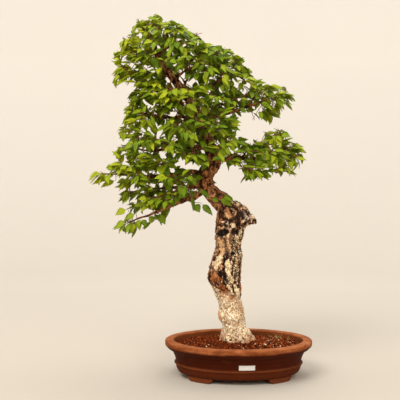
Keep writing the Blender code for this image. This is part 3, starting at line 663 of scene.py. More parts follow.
# Marks of age on the front of the trunk, by kind: middle x and height, half width, half height, lean in degrees
# (positive leans right at the top), and how far the wood stands out there
FRONT_MARKS = {
    "hollow": [(68, 389, 2.4, 5, -35, -4), (47, 337, 17, 7, -4, -6), (89, 324, 1.2, 12, -14, -4),
        (70, 288, 6, 5, 0, -5), (51, 266, 1.5, 16, 8, -5), (42, 244, 10, 8.5, 5, -8), (53, 232, 3, 8, -20, -4),
        (27, 203, 2.6, 17, -38, -3), (71, 215, 1.6, 7, -45, -3), (88, 224, 1.8, 9, -5, -3),
        (63, 173, 2.2, 1.8, 0, -2), (79, 89, 4.4, 1.3, 10, -2), (71, 103, 2.8, 1.6, 15, -2),
        (65, 97, 1.4, 2.8, -20, -2), (74, 94, 2.6, 1.2, 40, -1.5), (85, 95, 1.4, 2.2, 10, -1.5),
        (97, 93, 3.8, 1.3, 32, -1.5), (90, 86, 3.0, 1.2, -10, -1.5), (86, 346, 1.2, 10, 20, -3),
        (55, 318, 1.0, 10, 8, -3), (41, 303, 1.0, 7, -10, -3), (70, 306, 1.0, 9, -14, -3), (73, 289, 5, 4, 0, -3),
        (58, 287, 1.2, 7, 15, -3), (82, 97, 3.0, 1.6, 20, -2), (68, 90, 2.4, 1.6, -15, -2)],
    "lip": [(64, 384, 13, 12, 0, 3.0), (63, 173, 6, 5, 0, 1.5)],
    "tan": [(61, 377, 3.6, 12, -38, 3), (46, 351, 6, 3.5, 10, 1.5), (104, 398, 5, 10, -35, 1),
        (46, 293, 7, 10, 20, 1.5), (79, 268, 7, 12, 0, 1.0), (85, 237, 3, 11, 5, 0.5), (43, 141, 4, 14, -14, 2),
        (46, 316, 4, 9, 10, 1.5), (63, 308, 3.5, 8, -10, 1.5)],
    "groove": [(64, 384, 19, 17, 0, -2.5)],
    "char": [(101, 380, 14, 14, 0, 2.5)],
    "cream": [(117, 369, 1.7, 7, 15, 0.8), (73, 355, 5, 7, 10, 1.5), (83, 322, 3.0, 14, -18, 2),
        (40, 271, 5.4, 19, 27, 2.5), (61, 257, 7.0, 21, -4, 3.5), (67, 235, 2.2, 8, -22, 2),
        (64, 209, 5, 9, -40, 1), (70, 226, 6, 4, 0, 1), (81, 203, 5, 18, -20, 2), (88, 333, 2.4, 9, 12, 1.5),
        (33, 204, 5, 4, -30, 0.5), (62, 90, 9, 4, 10, 1.0), (100, 104, 8, 3, -45, 1.0),
        (91, 342, 2.2, 10, 8, 1.5), (62, 331, 2.5, 5, 20, 1.0)],
    "ribbed": [(45, 314, 12, 15, 0, 1), (64, 318, 8, 27, 0, 0.5), (36, 262, 6, 30, 20, 0)],
    "speckle": [(91, 343, 6, 12, 0, 1.5), (82, 290, 13, 24, 0, 0), (60, 226, 9, 12, -15, -1),
        (79, 246, 9, 24, 0, 0), (79, 311, 13, 17, 5, 0), (80, 100, 22, 10, -25, -1.0)],
    "rust": [(30, 236, 14, 16, -15, -2), (51, 204, 8, 22, -36, -2), (70, 188, 8, 6, -30, -1),
        (90, 212, 2.5, 15, -5, -1), (48, 90, 6, 8, 0, 0), (114, 88, 9, 4, -20, 0), (56, 128, 3, 7, 10, 0),
        (45, 136, 3.5, 10, -5, 0), (94, 156, 4, 14, -6, 0), (112, 84, 10, 5, -25, 0)],
}
# The back has as many marks of the same kinds at places left to chance
BACK_MARKS = 40
BACK_KINDS = ["hollow", "cream", "char", "rust", "tan", "cream", "speckle", "hollow", "ribbed"]
BACK_OUT = {"hollow": -6, "tan": 2, "cream": 2}
BACK_LEVELS = (105, 396)
BACK_ASIDE = (-24, 24)
BACK_HALF_WIDTHS = (2, 8)
BACK_HALF_HEIGHTS = (6, 20)
BACK_LEANS = (-35, 35)
MARK_FADES = (0.75, 1.2)       # from where to where a mark fades out, against its half size
LIP_WIDTH = 0.28               # width of a lip or groove round a mark's edge, measured the same way
TREE_SEED = 29
# Tones of each kind of wood, each from the lowest value of the pattern that it follows to the highest. Those that
# follow the relief's height run from painted shade in its low places to painted highlights on its high places, over
# the bark's own browns and greys
WOOD_TONES = {
    "old_brown": [(0.28, (0.012, 0.006, 0.004)), (0.46, (0.066, 0.024, 0.012)), (0.61, (0.20, 0.080, 0.034)),
                  (0.75, (0.47, 0.235, 0.105)), (0.92, (0.82, 0.62, 0.40))],
    "old_grey": [(0.28, (0.012, 0.007, 0.005)), (0.46, (0.072, 0.038, 0.023)), (0.61, (0.22, 0.130, 0.076)),
                 (0.75, (0.52, 0.35, 0.21)), (0.92, (0.84, 0.68, 0.48))],
    "low_bark": [(0.36, (0.15, 0.060, 0.022)), (0.44, (0.47, 0.29, 0.140)), (0.51, (0.73, 0.58, 0.37)),
                 (0.60, (0.98, 0.93, 0.78))],
    "arm": [(0.30, (0.034, 0.012, 0.005)), (0.46, (0.145, 0.052, 0.020)), (0.60, (0.30, 0.118, 0.044)),
            (0.80, (0.48, 0.23, 0.090))],
    "young": [(0.30, (0.026, 0.008, 0.002)), (0.48, (0.100, 0.031, 0.009)), (0.62, (0.23, 0.078, 0.022)),
              (0.80, (0.40, 0.165, 0.050))],
    "char": [(0.30, (0.018, 0.010, 0.007)), (0.49, (0.098, 0.060, 0.040)), (0.63, (0.28, 0.19, 0.13)),
             (0.81, (0.60, 0.48, 0.36))],
    "rust": [(0.30, (0.070, 0.017, 0.005)), (0.44, (0.21, 0.055, 0.012)), (0.56, (0.36, 0.112, 0.024)),
             (0.72, (0.52, 0.21, 0.058))],
    "tan": [(0.30, (0.24, 0.10, 0.040)), (0.50, (0.58, 0.32, 0.14)), (0.70, (0.84, 0.58, 0.33))],
    "cream": [(0.34, (0.20, 0.100, 0.040)), (0.43, (0.52, 0.345, 0.175)), (0.54, (0.78, 0.62, 0.38)),
              (0.70, (0.90, 0.81, 0.61))],
}
LOW_SPOTS = (0.34, 0.150, 0.048)
LOW_WORN = (0.44, 0.245, 0.115)
LOW_FOOT = (0.24, 0.090, 0.032)
FOOT_DARKENED = (0.080, 0.104)         # the bark is darker below, between these heights in metres
OLD_SHADOW = (0.021, 0.0085, 0.0048)
LOW_SHADOW = (0.135, 0.055, 0.020)
# near black in the hollows: painted shade
OLD_HOLLOW_SHADE = (0.010, 0.005, 0.0035)
LOW_HOLLOW_SHADE = (0.060, 0.023, 0.010)


def vectors(points):
    return [Vector(point) for point in points]


def along_curve(points, steps):
    """Points of a smooth curve through the given ones, with a number of steps to each stretch."""
    ends = [points[0] * 2 - points[1]] + list(points) + [points[-1] * 2 - points[-2]]
    curve = []
    for a, b, c, d in zip(ends, ends[1:], ends[2:], ends[3:]):
        for step in range(steps):
            t = step / steps
            curve.append(0.5 * (2 * b + (c - a) * t + (2 * a - 5 * b + 4 * c - d) * t ** 2
                                + (3 * b - a - 3 * c + d) * t ** 3))
    return curve + [points[-1]]


def spread_over(route, radii):
    """A radius for each point of a route, from radii that lie evenly along it."""
    return np.interp(np.linspace(0, 1, len(route)), np.linspace(0, 1, len(radii)), radii)


def turned_flat(direction, degrees):
    return Matrix.Rotation(math.radians(degrees), 3, "Z") @ direction


def grown_limbs():
    """The branches and their side shoots as routes with radii, and the tips that a leafy shoot goes on from."""
    limbs = []
    tips = []
    for name, (points, start, end, forks) in BRANCHES.items():
        route = along_curve(vectors(points), ROUTE_STEPS)
        radii = [start + (end - start) * i / (len(route) - 1) for i in range(len(route))]
        limbs.append((route, radii))
        tips.append((route[-1], (route[-1] - route[-2]).normalized(), end, SHOOT_LENGTH))
        for fork in range(forks):
            share = FORK_FIRST + FORK_SPREAD * fork / max(1, forks - 0.5)
            at = round(share * (len(route) - 1))
            side = 1 if (fork + len(name)) % 2 else -1
            along = (route[at] - route[at - 1]).normalized()
            lift = UP * FORK_LIFTS[(fork + len(name)) % len(FORK_LIFTS)]
            heading = (turned_flat(along, side * FORK_ANGLE) + lift).normalized()
            length = FORK_LENGTH * (FORK_LENGTHS[0] - FORK_LENGTHS[1] * share)
            if abs(route[at].y + heading.y * (length + SHOOT_LENGTH)) > SHOOT_REACH:
                heading = (turned_flat(along, -side * FORK_ANGLE) + lift).normalized()
            middle = route[at] + heading * length * 0.5 + UP * FORK_ARCH
            tip = route[at] + heading * length
            limbs.append((along_curve([route[at], middle, tip], ROUTE_STEPS),
                          np.linspace(*FORK_RADII, 2 * ROUTE_STEPS + 1)))
            tips.append((tip, (tip - middle).normalized(), FORK_RADII[1], SHOOT_LENGTH * SIDE_SHOOT_LENGTH))
    top, below = Vector(LEADER[-1]), Vector(LEADER[-2])
    tips.append((top, (top - below).normalized(), LEADER_RADII[-1], LEADER_TIP_SHOOT))
    return limbs, tips


def sleeve(route, radii, sides):
    """Points and faces of a closed tapered limb, each of its sections square to its route."""
    route = np.array([tuple(point) for point in route])
    ways = np.gradient(route, axis=0)
    ways /= np.linalg.norm(ways, axis=1)[:, None]
    across = np.cross(ways[0], (0.31, 0.87, 0.38))
    turns = np.arange(sides) * 2 * math.pi / sides
    rings = []
    for middle, way, radius in zip(route, ways, radii):
        across = across - way * across.dot(way)
        across /= np.linalg.norm(across)
        other = np.cross(way, across)
        rings.append(middle + radius * (np.outer(np.cos(turns), across) + np.outer(np.sin(turns), other)))
    start, end = ring_caps(len(route), sides)
    return np.concatenate(rings), [start, *ring_faces(len(route), sides), end]


def crooked(route, radii, seed):
    """The limb's route and radii with the small crooks and knuckles of slow growth; the route stays true at both its
    ends.
    """
    fine = along_curve(route, 3)
    bent, swollen = [], []
    for i, (point, size) in enumerate(zip(fine, spread_over(fine, radii))):
        share = i / (len(fine) - 1)
        hold = min(1.0, 5 * share, 5 * (1 - share))
        reach = min(CROOK_MOST, CROOK * size ** 0.5)
        bent.append(point + noise.noise_vector(point / CROOK_WAVE + Vector((seed, 0, 0))) * reach * hold)
        swollen.append(size * (1 + KNUCKLES * noise.noise(point / KNUCKLE_WAVE + Vector((0, seed, 0)))))
    return bent, swollen


def hump(distance, width):
    return math.exp(-(distance / width) ** 2)


def trunk_ring(height, x, y, radius):
    """One level ring of the trunk, with root lobes low down and the old wood's knots and hollows."""
    spread = min(1.0, max(0.0, (ROOT_LOBE_TOP - height) / (ROOT_LOBE_TOP - ROOT_LOBE_FULL)))
    ring = []
    for side in range(TRUNK_SIDES):
        degrees = 360 * side / TRUNK_SIDES
        reach = radius
        for lobe in ROOT_LOBES:
            turn = (degrees - lobe + 180) % 360 - 180
            reach += ROOT_LOBE_SIZE * spread ** 1.5 * hump(turn, ROOT_LOBE_WIDTH)
        for around, level, half_width, half_height, out in BARK_FORMS:
            turn = (degrees - around + 180) % 360 - 180
            reach += out * hump(turn, half_width) * hump(height - level, half_height)
        turn = math.radians(degrees)
        ring.append(Vector((x + reach * math.cos(turn), y + reach * math.sin(turn), height)))
    return ring


def step_up(value, low, high):
    """0 below low and 1 above high, with a soft change between."""
    share = np.clip((value - low) / (high - low), 0, 1)
    return share * share * (3 - 2 * share)


def noise_at(points, size, seed=0):
    """Soft noise at every point, with features of the given size in mm."""
    return np.array([noise.noise(spot) for spot in (points / size + seed * 7.31).tolist()])


def rough_at(points, size, seed=0, softness=0.7, octaves=4):
    """Noise with finer noise upon it at every point, its largest features of the given size in mm."""
    return np.array([noise.fractal(spot, softness, 2.1, octaves)
                     for spot in (points / size + seed * 7.31).tolist()])


def crackle_at(points, size, seed=0):
    """How near each point is to a crack between cells: 0 on the crack, up to about 1 in a cell's middle."""
    near = [noise.voronoi(spot)[0] for spot in (points / size + seed * 3.17).tolist()]
    return np.array([far - close for close, far, _, _ in near])


def ridges_at(points, size, seed=0):
    """Sharp ridges over rounded valleys at every point, evened out to lie between -1.2 and 1.2."""
    raw = np.array([noise.ridged_multi_fractal(spot, 0.8, 2.1, 4, 1.0, 1.9)
                    for spot in (points / size + seed * 7.31).tolist()])
    return np.clip((raw - raw.mean()) / (1.5 * raw.std()), -1.2, 1.2)


def wandering(points, size, reach, seed=0):
    """The points shifted by soft noise, so that a pattern drawn with them wanders."""
    return points + reach * np.array([noise.noise_vector(spot) for spot in (points / size + seed * 5.3).tolist()])


noise.seed_set(TREE_SEED)      # so that the crooks and the cracks' wandering are the same each time
sections = np.array(TRUNK_SECTIONS, float)
levels = np.append(np.arange(sections[0, 0], sections[-1, 0], TRUNK_RISE), sections[-1, 0])
trunk_rings = [trunk_ring(level, *[np.interp(level, sections[:, 0], sections[:, i]) for i in (1, 2, 3)])
               for level in levels]
tree_limbs, tree_tips = grown_limbs()
leader_route = along_curve(vectors(LEADER), ROUTE_STEPS)
leader_sizes = spread_over(leader_route, LEADER_RADII)
stub_route = along_curve(vectors(STUB), ROUTE_STEPS)
stub_sizes = spread_over(stub_route, STUB_RADII)
wood_parts = [([point for ring in trunk_rings for point in ring],
               ring_faces(len(trunk_rings), TRUNK_SIDES) + ring_caps(len(trunk_rings), TRUNK_SIDES)),
              sleeve(leader_route, leader_sizes, LEADER_SIDES), sleeve(stub_route, stub_sizes, STUB_SIDES)]
routes = [(vectors(sections[:, [1, 2, 0]]), sections[:, 3]), (leader_route, leader_sizes), (stub_route, stub_sizes)]
for seed, (route, radii) in enumerate(tree_limbs):
    route, radii = crooked(route, radii, seed)
    routes.append((route, radii))
    wood_parts.append(sleeve(route, radii, LIMB_SIDES))
tree = new_piece("tree_wood", mesh_from("tree_wood", *gathered(wood_parts)))
shaped(tree, "REMESH", mode="VOXEL", voxel_size=WOOD_GRAIN * MM)
settled(tree)
shaped(tree, "SMOOTH", factor=0.5, iterations=3)
settled(tree)

# every point of the wood's surface, and where it lies along the nearest limb and round it
count = len(tree.data.vertices)
surface, facing = np.empty((2, count * 3))
tree.data.vertices.foreach_get("co", surface)
tree.data.vertices.foreach_get("normal", facing)
surface, facing = surface.reshape(-1, 3) / MM, facing.reshape(-1, 3)
samples = []
for number, (route, radii) in enumerate(routes):
    fine = along_curve(route, ROUTE_STEPS)
    run = 0.0
    for i, (point, size) in enumerate(zip(fine, spread_over(fine, radii))):
        run += (point - fine[i - 1]).length if i else 0
        way = (fine[min(i + 1, len(fine) - 1)] - fine[max(i - 1, 0)]).normalized()
        samples.append((*point, *way, run, size, number))
samples = np.array(samples)
finder = kdtree.KDTree(len(samples))
for i, sample in enumerate(samples):
    finder.insert(sample[:3], i)
finder.balance()
nearest = samples[[min(finder.find_n(spot, 3), key=lambda hit: hit[2] / samples[hit[1], 7])[1]
                   for spot in surface.tolist()]]
off = surface - nearest[:, :3]
rise = (off * nearest[:, 3:6]).sum(1)
along = nearest[:, 6] + rise
thick = nearest[:, 7]
limb = nearest[:, 8]
grain = np.stack([off[:, 0] + nearest[:, 0] * 0.2, off[:, 1], along * 0.36], 1) + limb[:, None] * 31
x, height = surface[:, 0], surface[:, 2]

# how old the wood is at each point: pale lower bark, the worn old trunk, the rough arm and the young limbs
trunk_part = np.where((limb == 0) | (limb == 2), 1.0, 0.0)
wander = noise_at(surface, 21, seed=2)
low_bark = trunk_part * step_up(197 - height + wander * 12 - (x - 62) * 0.25, -10, 14)
old_wood = trunk_part * (1 - low_bark)
arm = np.where(limb == 1, step_up(thick, 5, 15), 0.0)
young = 1 - np.maximum(trunk_part, arm)

marks = [(kind, *mark) for kind, rows in FRONT_MARKS.items() for mark in rows]
front_count = len(marks)
mark_draw = random.Random(TREE_SEED)
for number in range(BACK_MARKS):
    level = mark_draw.uniform(*BACK_LEVELS)
    middle = np.interp(level, sections[:, 0], sections[:, 1]) + mark_draw.uniform(*BACK_ASIDE)
    kind = BACK_KINDS[number % len(BACK_KINDS)]
    marks.append((kind, middle, level, mark_draw.uniform(*BACK_HALF_WIDTHS), mark_draw.uniform(*BACK_HALF_HEIGHTS),
                  mark_draw.uniform(*BACK_LEANS), BACK_OUT.get(kind, 0)))
ragged_x = x + 3.4 * noise_at(surface, 7, seed=3) + 2.2 * noise_at(surface, 2.9, seed=4)
ragged_z = height + 4.5 * noise_at(surface, 9, seed=5) + 2.6 * noise_at(surface, 3.1, seed=6)
front = step_up(-facing[:, 1], -0.12, 0.25)
looks = {kind: np.zeros(count) for kind in FRONT_MARKS}
lift = np.zeros(count)
for number, (kind, mark_x, mark_z, half_width, half_height, lean, out) in enumerate(marks):
    turn = math.radians(lean)
    near_x, near_z = ragged_x - mark_x, ragged_z - mark_z
    across = (near_x * math.cos(turn) - near_z * math.sin(turn)) / half_width
    upward = (near_x * math.sin(turn) + near_z * math.cos(turn)) / half_height
    distance = np.sqrt(across ** 2 + upward ** 2)
    side = front if number < front_count else 1 - front
    share = (1 - step_up(distance, *MARK_FADES)) * side
    if kind in ("lip", "groove"):
        share = np.exp(-((distance - 1) / LIP_WIDTH) ** 2) * side
    looks[kind] = np.maximum(looks[kind], share)
    lift += share * out * np.clip(trunk_part + arm, 0, 1)

# the relief: ridges, plates and cracks on the old wood and the arm, warts and pits low down, knobs on limbs
worn = wandering(grain, 11, 4.5, 1)
ridges = ridges_at(worn, 8.5, 7)
plates = crackle_at(worn, 8.5, 1)
cracks = (1 - step_up(plates, 0.03, 0.24)) * step_up(noise_at(surface, 15, 9), -0.2, 0.2)
small_plates = crackle_at(wandering(surface, 6, 2.5, 2), 4.6, 2)
small_cracks = 1 - step_up(small_plates, 0.03, 0.30)
fibres = rough_at(grain * np.array([1, 1, 0.45]), 2.4, 7)
lumps = rough_at(surface, 13, 8, 0.8, 3)
warts = rough_at(surface, 4.4, 9, 0.6, 3)
smooth = np.clip(looks["cream"] * 0.9, 0, 1)
ribs = np.sin((x + wander * 5) / 1.45) * looks["ribbed"]
rough_wood = old_wood * (1 - smooth) * (1 - 0.45 * looks["speckle"]) * (1 - 0.45 * looks["ribbed"])
lift += old_wood * lumps * 3.0 + rough_wood * (ridges * 1.9 + warts * 1.2 - cracks * 2.3 + ribs * 0.9)
lift += old_wood * smooth * fibres * 1.1
lift += (looks["char"] + 0.8 * looks["speckle"]) * (0.5 - small_cracks * 2.2) * trunk_part
lift += low_bark * (lumps * 1.9 + warts * 1.0 + ridges * 1.1 + fibres * 0.7 - small_cracks * 0.2)
lift += arm * (lumps * 1.6 + ridges * 1.2 - cracks * 1.8)
lift += young * np.clip(thick / 7, 0.1, 0.9) * (warts * 1.3 + ridges * 0.6 - cracks * 0.6)
lift = np.clip(lift, RELIEF_RANGE[0] * thick, RELIEF_RANGE[1] * thick + RELIEF_SPARE)
lift *= step_up(height, *RELIEF_FROM)
surface = surface + facing * lift[:, None]
tree.data.vertices.foreach_set("co", (surface * MM).ravel())
tree.data.update()

# painted shade in the cracks, in the valleys between ridges and lumps, in the grooves and along the fibres
deep = rough_wood * (cracks * 0.85 + step_up(-ridges, 0.35, 1.0) * 0.50 + step_up(-lumps, 0.3, 0.75) * 0.30)
deep += low_bark * (small_cracks * step_up(wander + warts, 0.35, 0.8) * 0.6 + step_up(-fibres, 0.5, 0.9) * 0.7)
crusts = looks["char"] * 0.7 + 0.68 * looks["speckle"] * (1 - 0.45 * low_bark)
deep += crusts * small_cracks + looks["groove"] * 0.85 + old_wood * smooth * step_up(-fibres, 0.2, 0.6) * 0.7
deep += arm * (cracks * 0.45 + step_up(-ridges, 0.4, 1.0) * 0.35) + young * cracks * 0.22
# how high the relief stands at each point; the finish paints its low places darker and its high places lighter:
# painted shade and painted highlights
crest_shade_and_highlight = 0.5 + 0.28 * ridges + 0.22 * lumps + 0.22 * warts
keep_numbers(tree.data, {
    "deep": np.clip(deep, 0, 1), "crest_shade_and_highlight": np.clip(crest_shade_and_highlight, 0, 1),
    "cream": np.clip(looks["cream"] + looks["speckle"] * 0.66 * (small_plates > 0.20), 0, 1),
    "rust": looks["rust"] * (1 - 0.35 * low_bark),
    "tan": np.clip(looks["tan"] + looks["lip"] * 0.22 + looks["ribbed"] * 0.3, 0, 1),
    "char": looks["char"], "hollow": looks["hollow"], "low_bark": low_bark, "arm": arm, "young": young,
})


def hornbeam_wood():
    """Bark and bleached wood: the shares of each kind are kept on the surface, and the tones mixed here."""
    wood = Finish("hornbeam_wood", 0.85, 0.15)
    fine = wood.cloud(2.6, 6, 0.7)
    strands = wood.cloud(2.1, 5, 0.65, wood.stretched(1.0, 1.0, 0.28))
    upright = wood.cloud(3.4, 6, 0.72, wood.stretched(1.0, 1.0, 0.6))
    broad = wood.cloud(24, 3)
    # the relief's height: painted shade in its low places and painted highlights on its high places, over the bark's
    # own tones
    crest_shade_and_highlight = wood.frayed(wood.measured("crest_shade_and_highlight"), fine, 0.14)
    old = wood.mixed(wood.ranged(broad, 0.42, 0.62), wood.toned(crest_shade_and_highlight, WOOD_TONES["old_brown"]),
                     wood.toned(crest_shade_and_highlight, WOOD_TONES["old_grey"]))
    spots = wood.maths("MULTIPLY", wood.ranged(wood.cloud(4.2, 4), 0.52, 0.60), 0.80)
    low = wood.mixed(spots, wood.toned(upright, WOOD_TONES["low_bark"]), LOW_SPOTS)
    low = wood.mixed(wood.ranged(broad, 0.48, 0.70, 0, 0.62), low, LOW_WORN)
    foot = wood.frayed(wood.height(), fine, 0.014)
    low = wood.mixed(wood.ranged(foot, *FOOT_DARKENED, 0.72, 0), low, LOW_FOOT)
    body = wood.mixed(wood.measured("low_bark"), old, low)
    for kind in ("arm", "young", "char"):
        body = wood.mixed(wood.measured(kind), body, wood.toned(crest_shade_and_highlight, WOOD_TONES[kind]))
    rust = wood.ranged(wood.frayed(wood.measured("rust"), fine, 0.38), 0.40, 0.85, 0, 0.94)
    body = wood.mixed(rust, body, wood.toned(fine, WOOD_TONES["rust"]))
    body = wood.mixed(wood.measured("tan"), body, wood.toned(fine, WOOD_TONES["tan"]))
    cream = wood.ranged(wood.frayed(wood.measured("cream"), fine, 0.30), 0.38, 0.60)
    body = wood.mixed(cream, body, wood.toned(strands, WOOD_TONES["cream"]))
    # painted shade in the cracks, valleys and grooves
    deep = wood.ranged(wood.frayed(wood.measured("deep"), fine, 0.26), 0.26, 0.80, 0, 0.95)
    body = wood.mixed(deep, body, wood.mixed(wood.measured("low_bark"), OLD_SHADOW, LOW_SHADOW))
    # the hollows near black: painted shade
    hollow = wood.ranged(wood.frayed(wood.measured("hollow"), fine, 0.26), 0.34, 0.72, 0, 0.97)
    wood.colour(wood.mixed(hollow, body, wood.mixed(wood.measured("low_bark"), OLD_HOLLOW_SHADE, LOW_HOLLOW_SHADE)))
    wood.roughness(wood.spread(fine, 0.7, 0.95))
    wood.relief(wood.maths("ADD", fine, wood.cloud(0.9, 3)), 0.5, 0.8)
    return wood.material


tree.data.shade_smooth()
tree.data.materials.append(hornbeam_wood())
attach(tree, "root")
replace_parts(tree, "tree")

# The leafy shoots
# This year's growth: thin red-brown twigs that fan out flat, two rows of leaves on each, and a leaf at every
# tip. A leaf is a pointed, doubly toothed blade, pleated at its veins, and hangs outwards from a short stalk.
CROWN = [                  # the crown's outline as the photograph sees it, x and height
    (-106, 853), (-77, 846), (-60, 841), (-39, 824), (-19, 813), (-5, 803), (-1, 788), (15, 786), (46, 781),
    (80, 767), (91, 758), (104, 731), (118, 707), (132, 700), (155, 693), (193, 686), (204, 676), (216, 655),
    (210, 632), (166, 604), (118, 594), (91, 574), (101, 567), (138, 577), (196, 582), (210, 567), (241, 527),
    (231, 488), (210, 478), (91, 458), (84, 471), (46, 485), (26, 467), (26, 452), (44, 430), (64, 421),
    (76, 404), (66, 394), (26, 418), (26, 380), (-24, 396), (-39, 420), (-60, 408), (-73, 399), (-90, 357),
    (-131, 348), (-166, 334), (-208, 346), (-205, 389), (-179, 396), (-188, 410), (-190, 437), (-203, 452),
    (-237, 445), (-258, 452), (-266, 471), (-227, 495), (-210, 502), (-186, 512), (-213, 515), (-190, 550),
    (-198, 580), (-184, 598), (-176, 628), (-168, 650), (-176, 666), (-147, 681), (-159, 691), (-179, 698),
    (-205, 686), (-213, 703), (-198, 731), (-213, 748), (-188, 789), (-169, 813), (-166, 833), (-131, 847),
]
CROWN_HALF_DEPTH = 132.0
CROWN_MIDDLE = 12.0        # how far left of the frame's middle its deepest place is
CROWN_REACH = 238.0        # half its width in plan, and how deep it is at its thinnest, against its middle
CROWN_THIN = 0.2
CROWN_RAGGED = 9.0         # how far the leaves' edge wanders from the outline, and the length of that wandering
CROWN_NOTCH = 13.0
CAMERA_PLACE = (-4.5, -1600.0, 415.0)
# Small openings right through the foliage, as the photograph sees them: x, height, radius
SKY_GAPS = [
    (-107, 782, 6), (-138, 765, 5), (-126, 738, 4), (-50, 707, 10), (-39, 695, 7), (-12, 697, 9), (12, 700, 7),
    (75, 695, 7), (-8, 632, 7), (-94, 592, 9), (-138, 584, 9), (-124, 582, 9), (-84, 560, 7), (-172, 556, 6),
    (-178, 517, 8), (49, 584, 6), (-40, 499, 19), (-24, 499, 21), (-10, 488, 17), (150, 560, 5), (-150, 446, 8),
    (-110, 420, 6), (185, 628, 5), (60, 640, 5), (-200, 560, 5), (132, 634, 6), (-60, 740, 5), (170, 500, 5),
    (-208, 478, 6), (-186, 436, 7), (-216, 462, 6), (40, 640, 4), (96, 664, 4), (-60, 622, 4), (-20, 580, 4),
]
GAP_RAGGED = 0.9           # how unevenly the leaves run round a gap, and the length of that unevenness
GAP_NOTCH = 7.0
# Wood that the foliage leaves open to the front: x, height, radius
OPEN_WOOD = [
    (-104, 755, 12), (-92, 734, 13), (-78, 715, 13), (-62, 698, 13), (-76, 682, 10), (-52, 682, 12),
    (-28, 684, 12), (-4, 691, 11), (19, 699, 10), (-43, 644, 14), (-57, 610, 13), (86, 617, 13), (114, 639, 10),
    (-92, 534, 10), (-108, 534, 11), (-122, 530, 10), (100, 517, 11), (124, 515, 10), (26, 496, 16),
    (7, 463, 22), (-4, 470, 18), (-12, 448, 14), (30, 480, 13), (14, 438, 17), (24, 420, 17), (46, 412, 15),
    (64, 402, 13), (-8, 418, 12), (-28, 420, 10), (-52, 413, 9), (-76, 401, 9), (-100, 388, 7), (-12, 442, 11),
    (-2, 404, 12), (20, 400, 14),
]
IN_FRONT = 5               # depth up to which a leaf counts as in front of that wood
# Places where the foliage is thin: x, height, radius, share of twigs that grow there
THIN_PLACES = [
    (-240, 462, 40, 0.10), (-205, 430, 40, 0.3), (-165, 368, 52, 0.19), (-115, 372, 32, 0.2), (-100, 400, 40, 0.85),
    (110, 590, 45, 0.3), (-200, 530, 30, 0.4), (60, 470, 40, 0.1), (10, 410, 40, 0.0),
]
SEED = 17
# A shoot's stem, its side shoot, its leaves and its finer twigs. Places are shares of the length that carries them
SHOOT_RADII = (1.5, 0.9)
STEM_SWAY = 12
SIDE_SHOOT = (0.4, 0.55)           # where it leaves the stem, and how long it is against the stem
SIDE_SHOOT_ANGLE = 50.0
SIDE_SHOOT_RADIUS = 0.8
STEM_LEAVES = [(0.30, -1), (0.64, -1), (0.82, 1)]               # place, side
MORE_TWIGS = [(0.12, -1), (0.40, 1), (0.62, -1), (0.9, 1)]
TWIG_ANGLES = (38, 62)
TWIG_LIFTS = (-0.18, 0.32)
TWIG_LENGTHS = (18, 34)
TWIG_SPARE = 10            # room for a leaf beyond a twig's end, and the steps by which a twig gets shorter
TWIG_SHORTER = 6
TWIG_SHORTEST = 12
TWIG_RADII = (0.95, 0.50)
TWIG_SIDES = 5
TWIG_LEAVES = [(0.34, 1), (0.62, -1), (0.86, 1), (1.0, 0)]
# Twigs that fill the crown
PAD_SIZE = (62.0, 62.0, 24.0)      # the foliage gathers in flat pads of this size
PAD_SHARE = -0.10                  # where the pads' noise lies below this no filling twig grows
PAD_LIFT = ([700, 790], [0.0, 0.35])       # the pads close up towards the top
FILL_TRIES = 10000         # places in the crown where a twig may still find light
FILL_LEVELS = (350, 850)
FILL_SIDES = (-262, 240)
FILL_MIDDLE = (565.0, 300.0)       # height of the crown's deepest level, and how far above and below it reaches
FILL_DEPTH = 112.0
FILL_THIN = 0.12
FILL_OUTWARDS = 0.6        # below 1, more of the places lie near the crown's front and back
FILL_APART = 16.6          # how far such a place is from every leaf
FILL_CLOSER = ([640, 800], [1.0, 0.84])      # the share of that distance by height
FILL_REACH = (16.0, 74.0)  # how far it is from the nearest wood
FILL_FROM = 440            # height above which the limbs themselves carry such twigs
FILL_FROM_GAP = 7
FILL_TWIG = 1.2            # radius of such a twig where it leaves a branch
FILL_SAG = 0.06
FILL_LEAVES = [(0.42, 1), (0.66, -1), (0.86, 1), (1.0, 0)]
TWIG_BUDS = (0.3, 0.8)     # where a further twig may grow from a shoot's own twigs, and from a filling one
FILL_BUDS = (0.5, 0.95)
# A leaf's size and how it hangs. What is left to chance grows with each try to find it a place
LEAF_LENGTH = 38.0
LEAF_WIDTH = 21.0
LEAF_LENGTHS = (0.84, 1.1)
LEAF_WIDTHS = (0.88, 1.08)
LEAF_BENDS = (0.05, 0.22)
LEAF_TURNS = (35, 60)
LEAF_TURNS_LOOSE = 24
LEAF_HANG = (0.25, 1.15)
LEAF_WAY_OUT = 0.35
LEAF_WAY_LOOSE = 0.18
LEAF_FACE_LOOSE = 0.35
LEAF_LOOSENING = 0.12
LEAF_TRIES = 9
LEAF_EDGE = (0.68, 0.3)    # how far along and across the three places lie that have to be inside the crown
# The same for the leaves of the finer twigs, which turn to the front or the back
SHOWN_HANG = (0.0, 0.62)
SHOWN_LENGTHS = (0.66, 0.96)
SHOWN_WIDTHS = (0.57, 0.80)
SHOWN_TURNED = (0.3, 1.0)
SHOWN_ASIDE = (0.0, 1.2)
SHOWN_DOWN = (-0.40, 0.10)
# How far left of the frame's middle the crown's axis lies, and how far from it leaves point fully sideways
CROWN_AXIS = (35.0, 90)
STALK = 5.0
STALK_RADIUS = 0.42
STALK_THINNER = 0.7
LONE_BEND = 0.08           # of the leaves that the photograph shows one by one, and how they face
LONE_FACE = Vector((0.1, -0.8, 0.6))
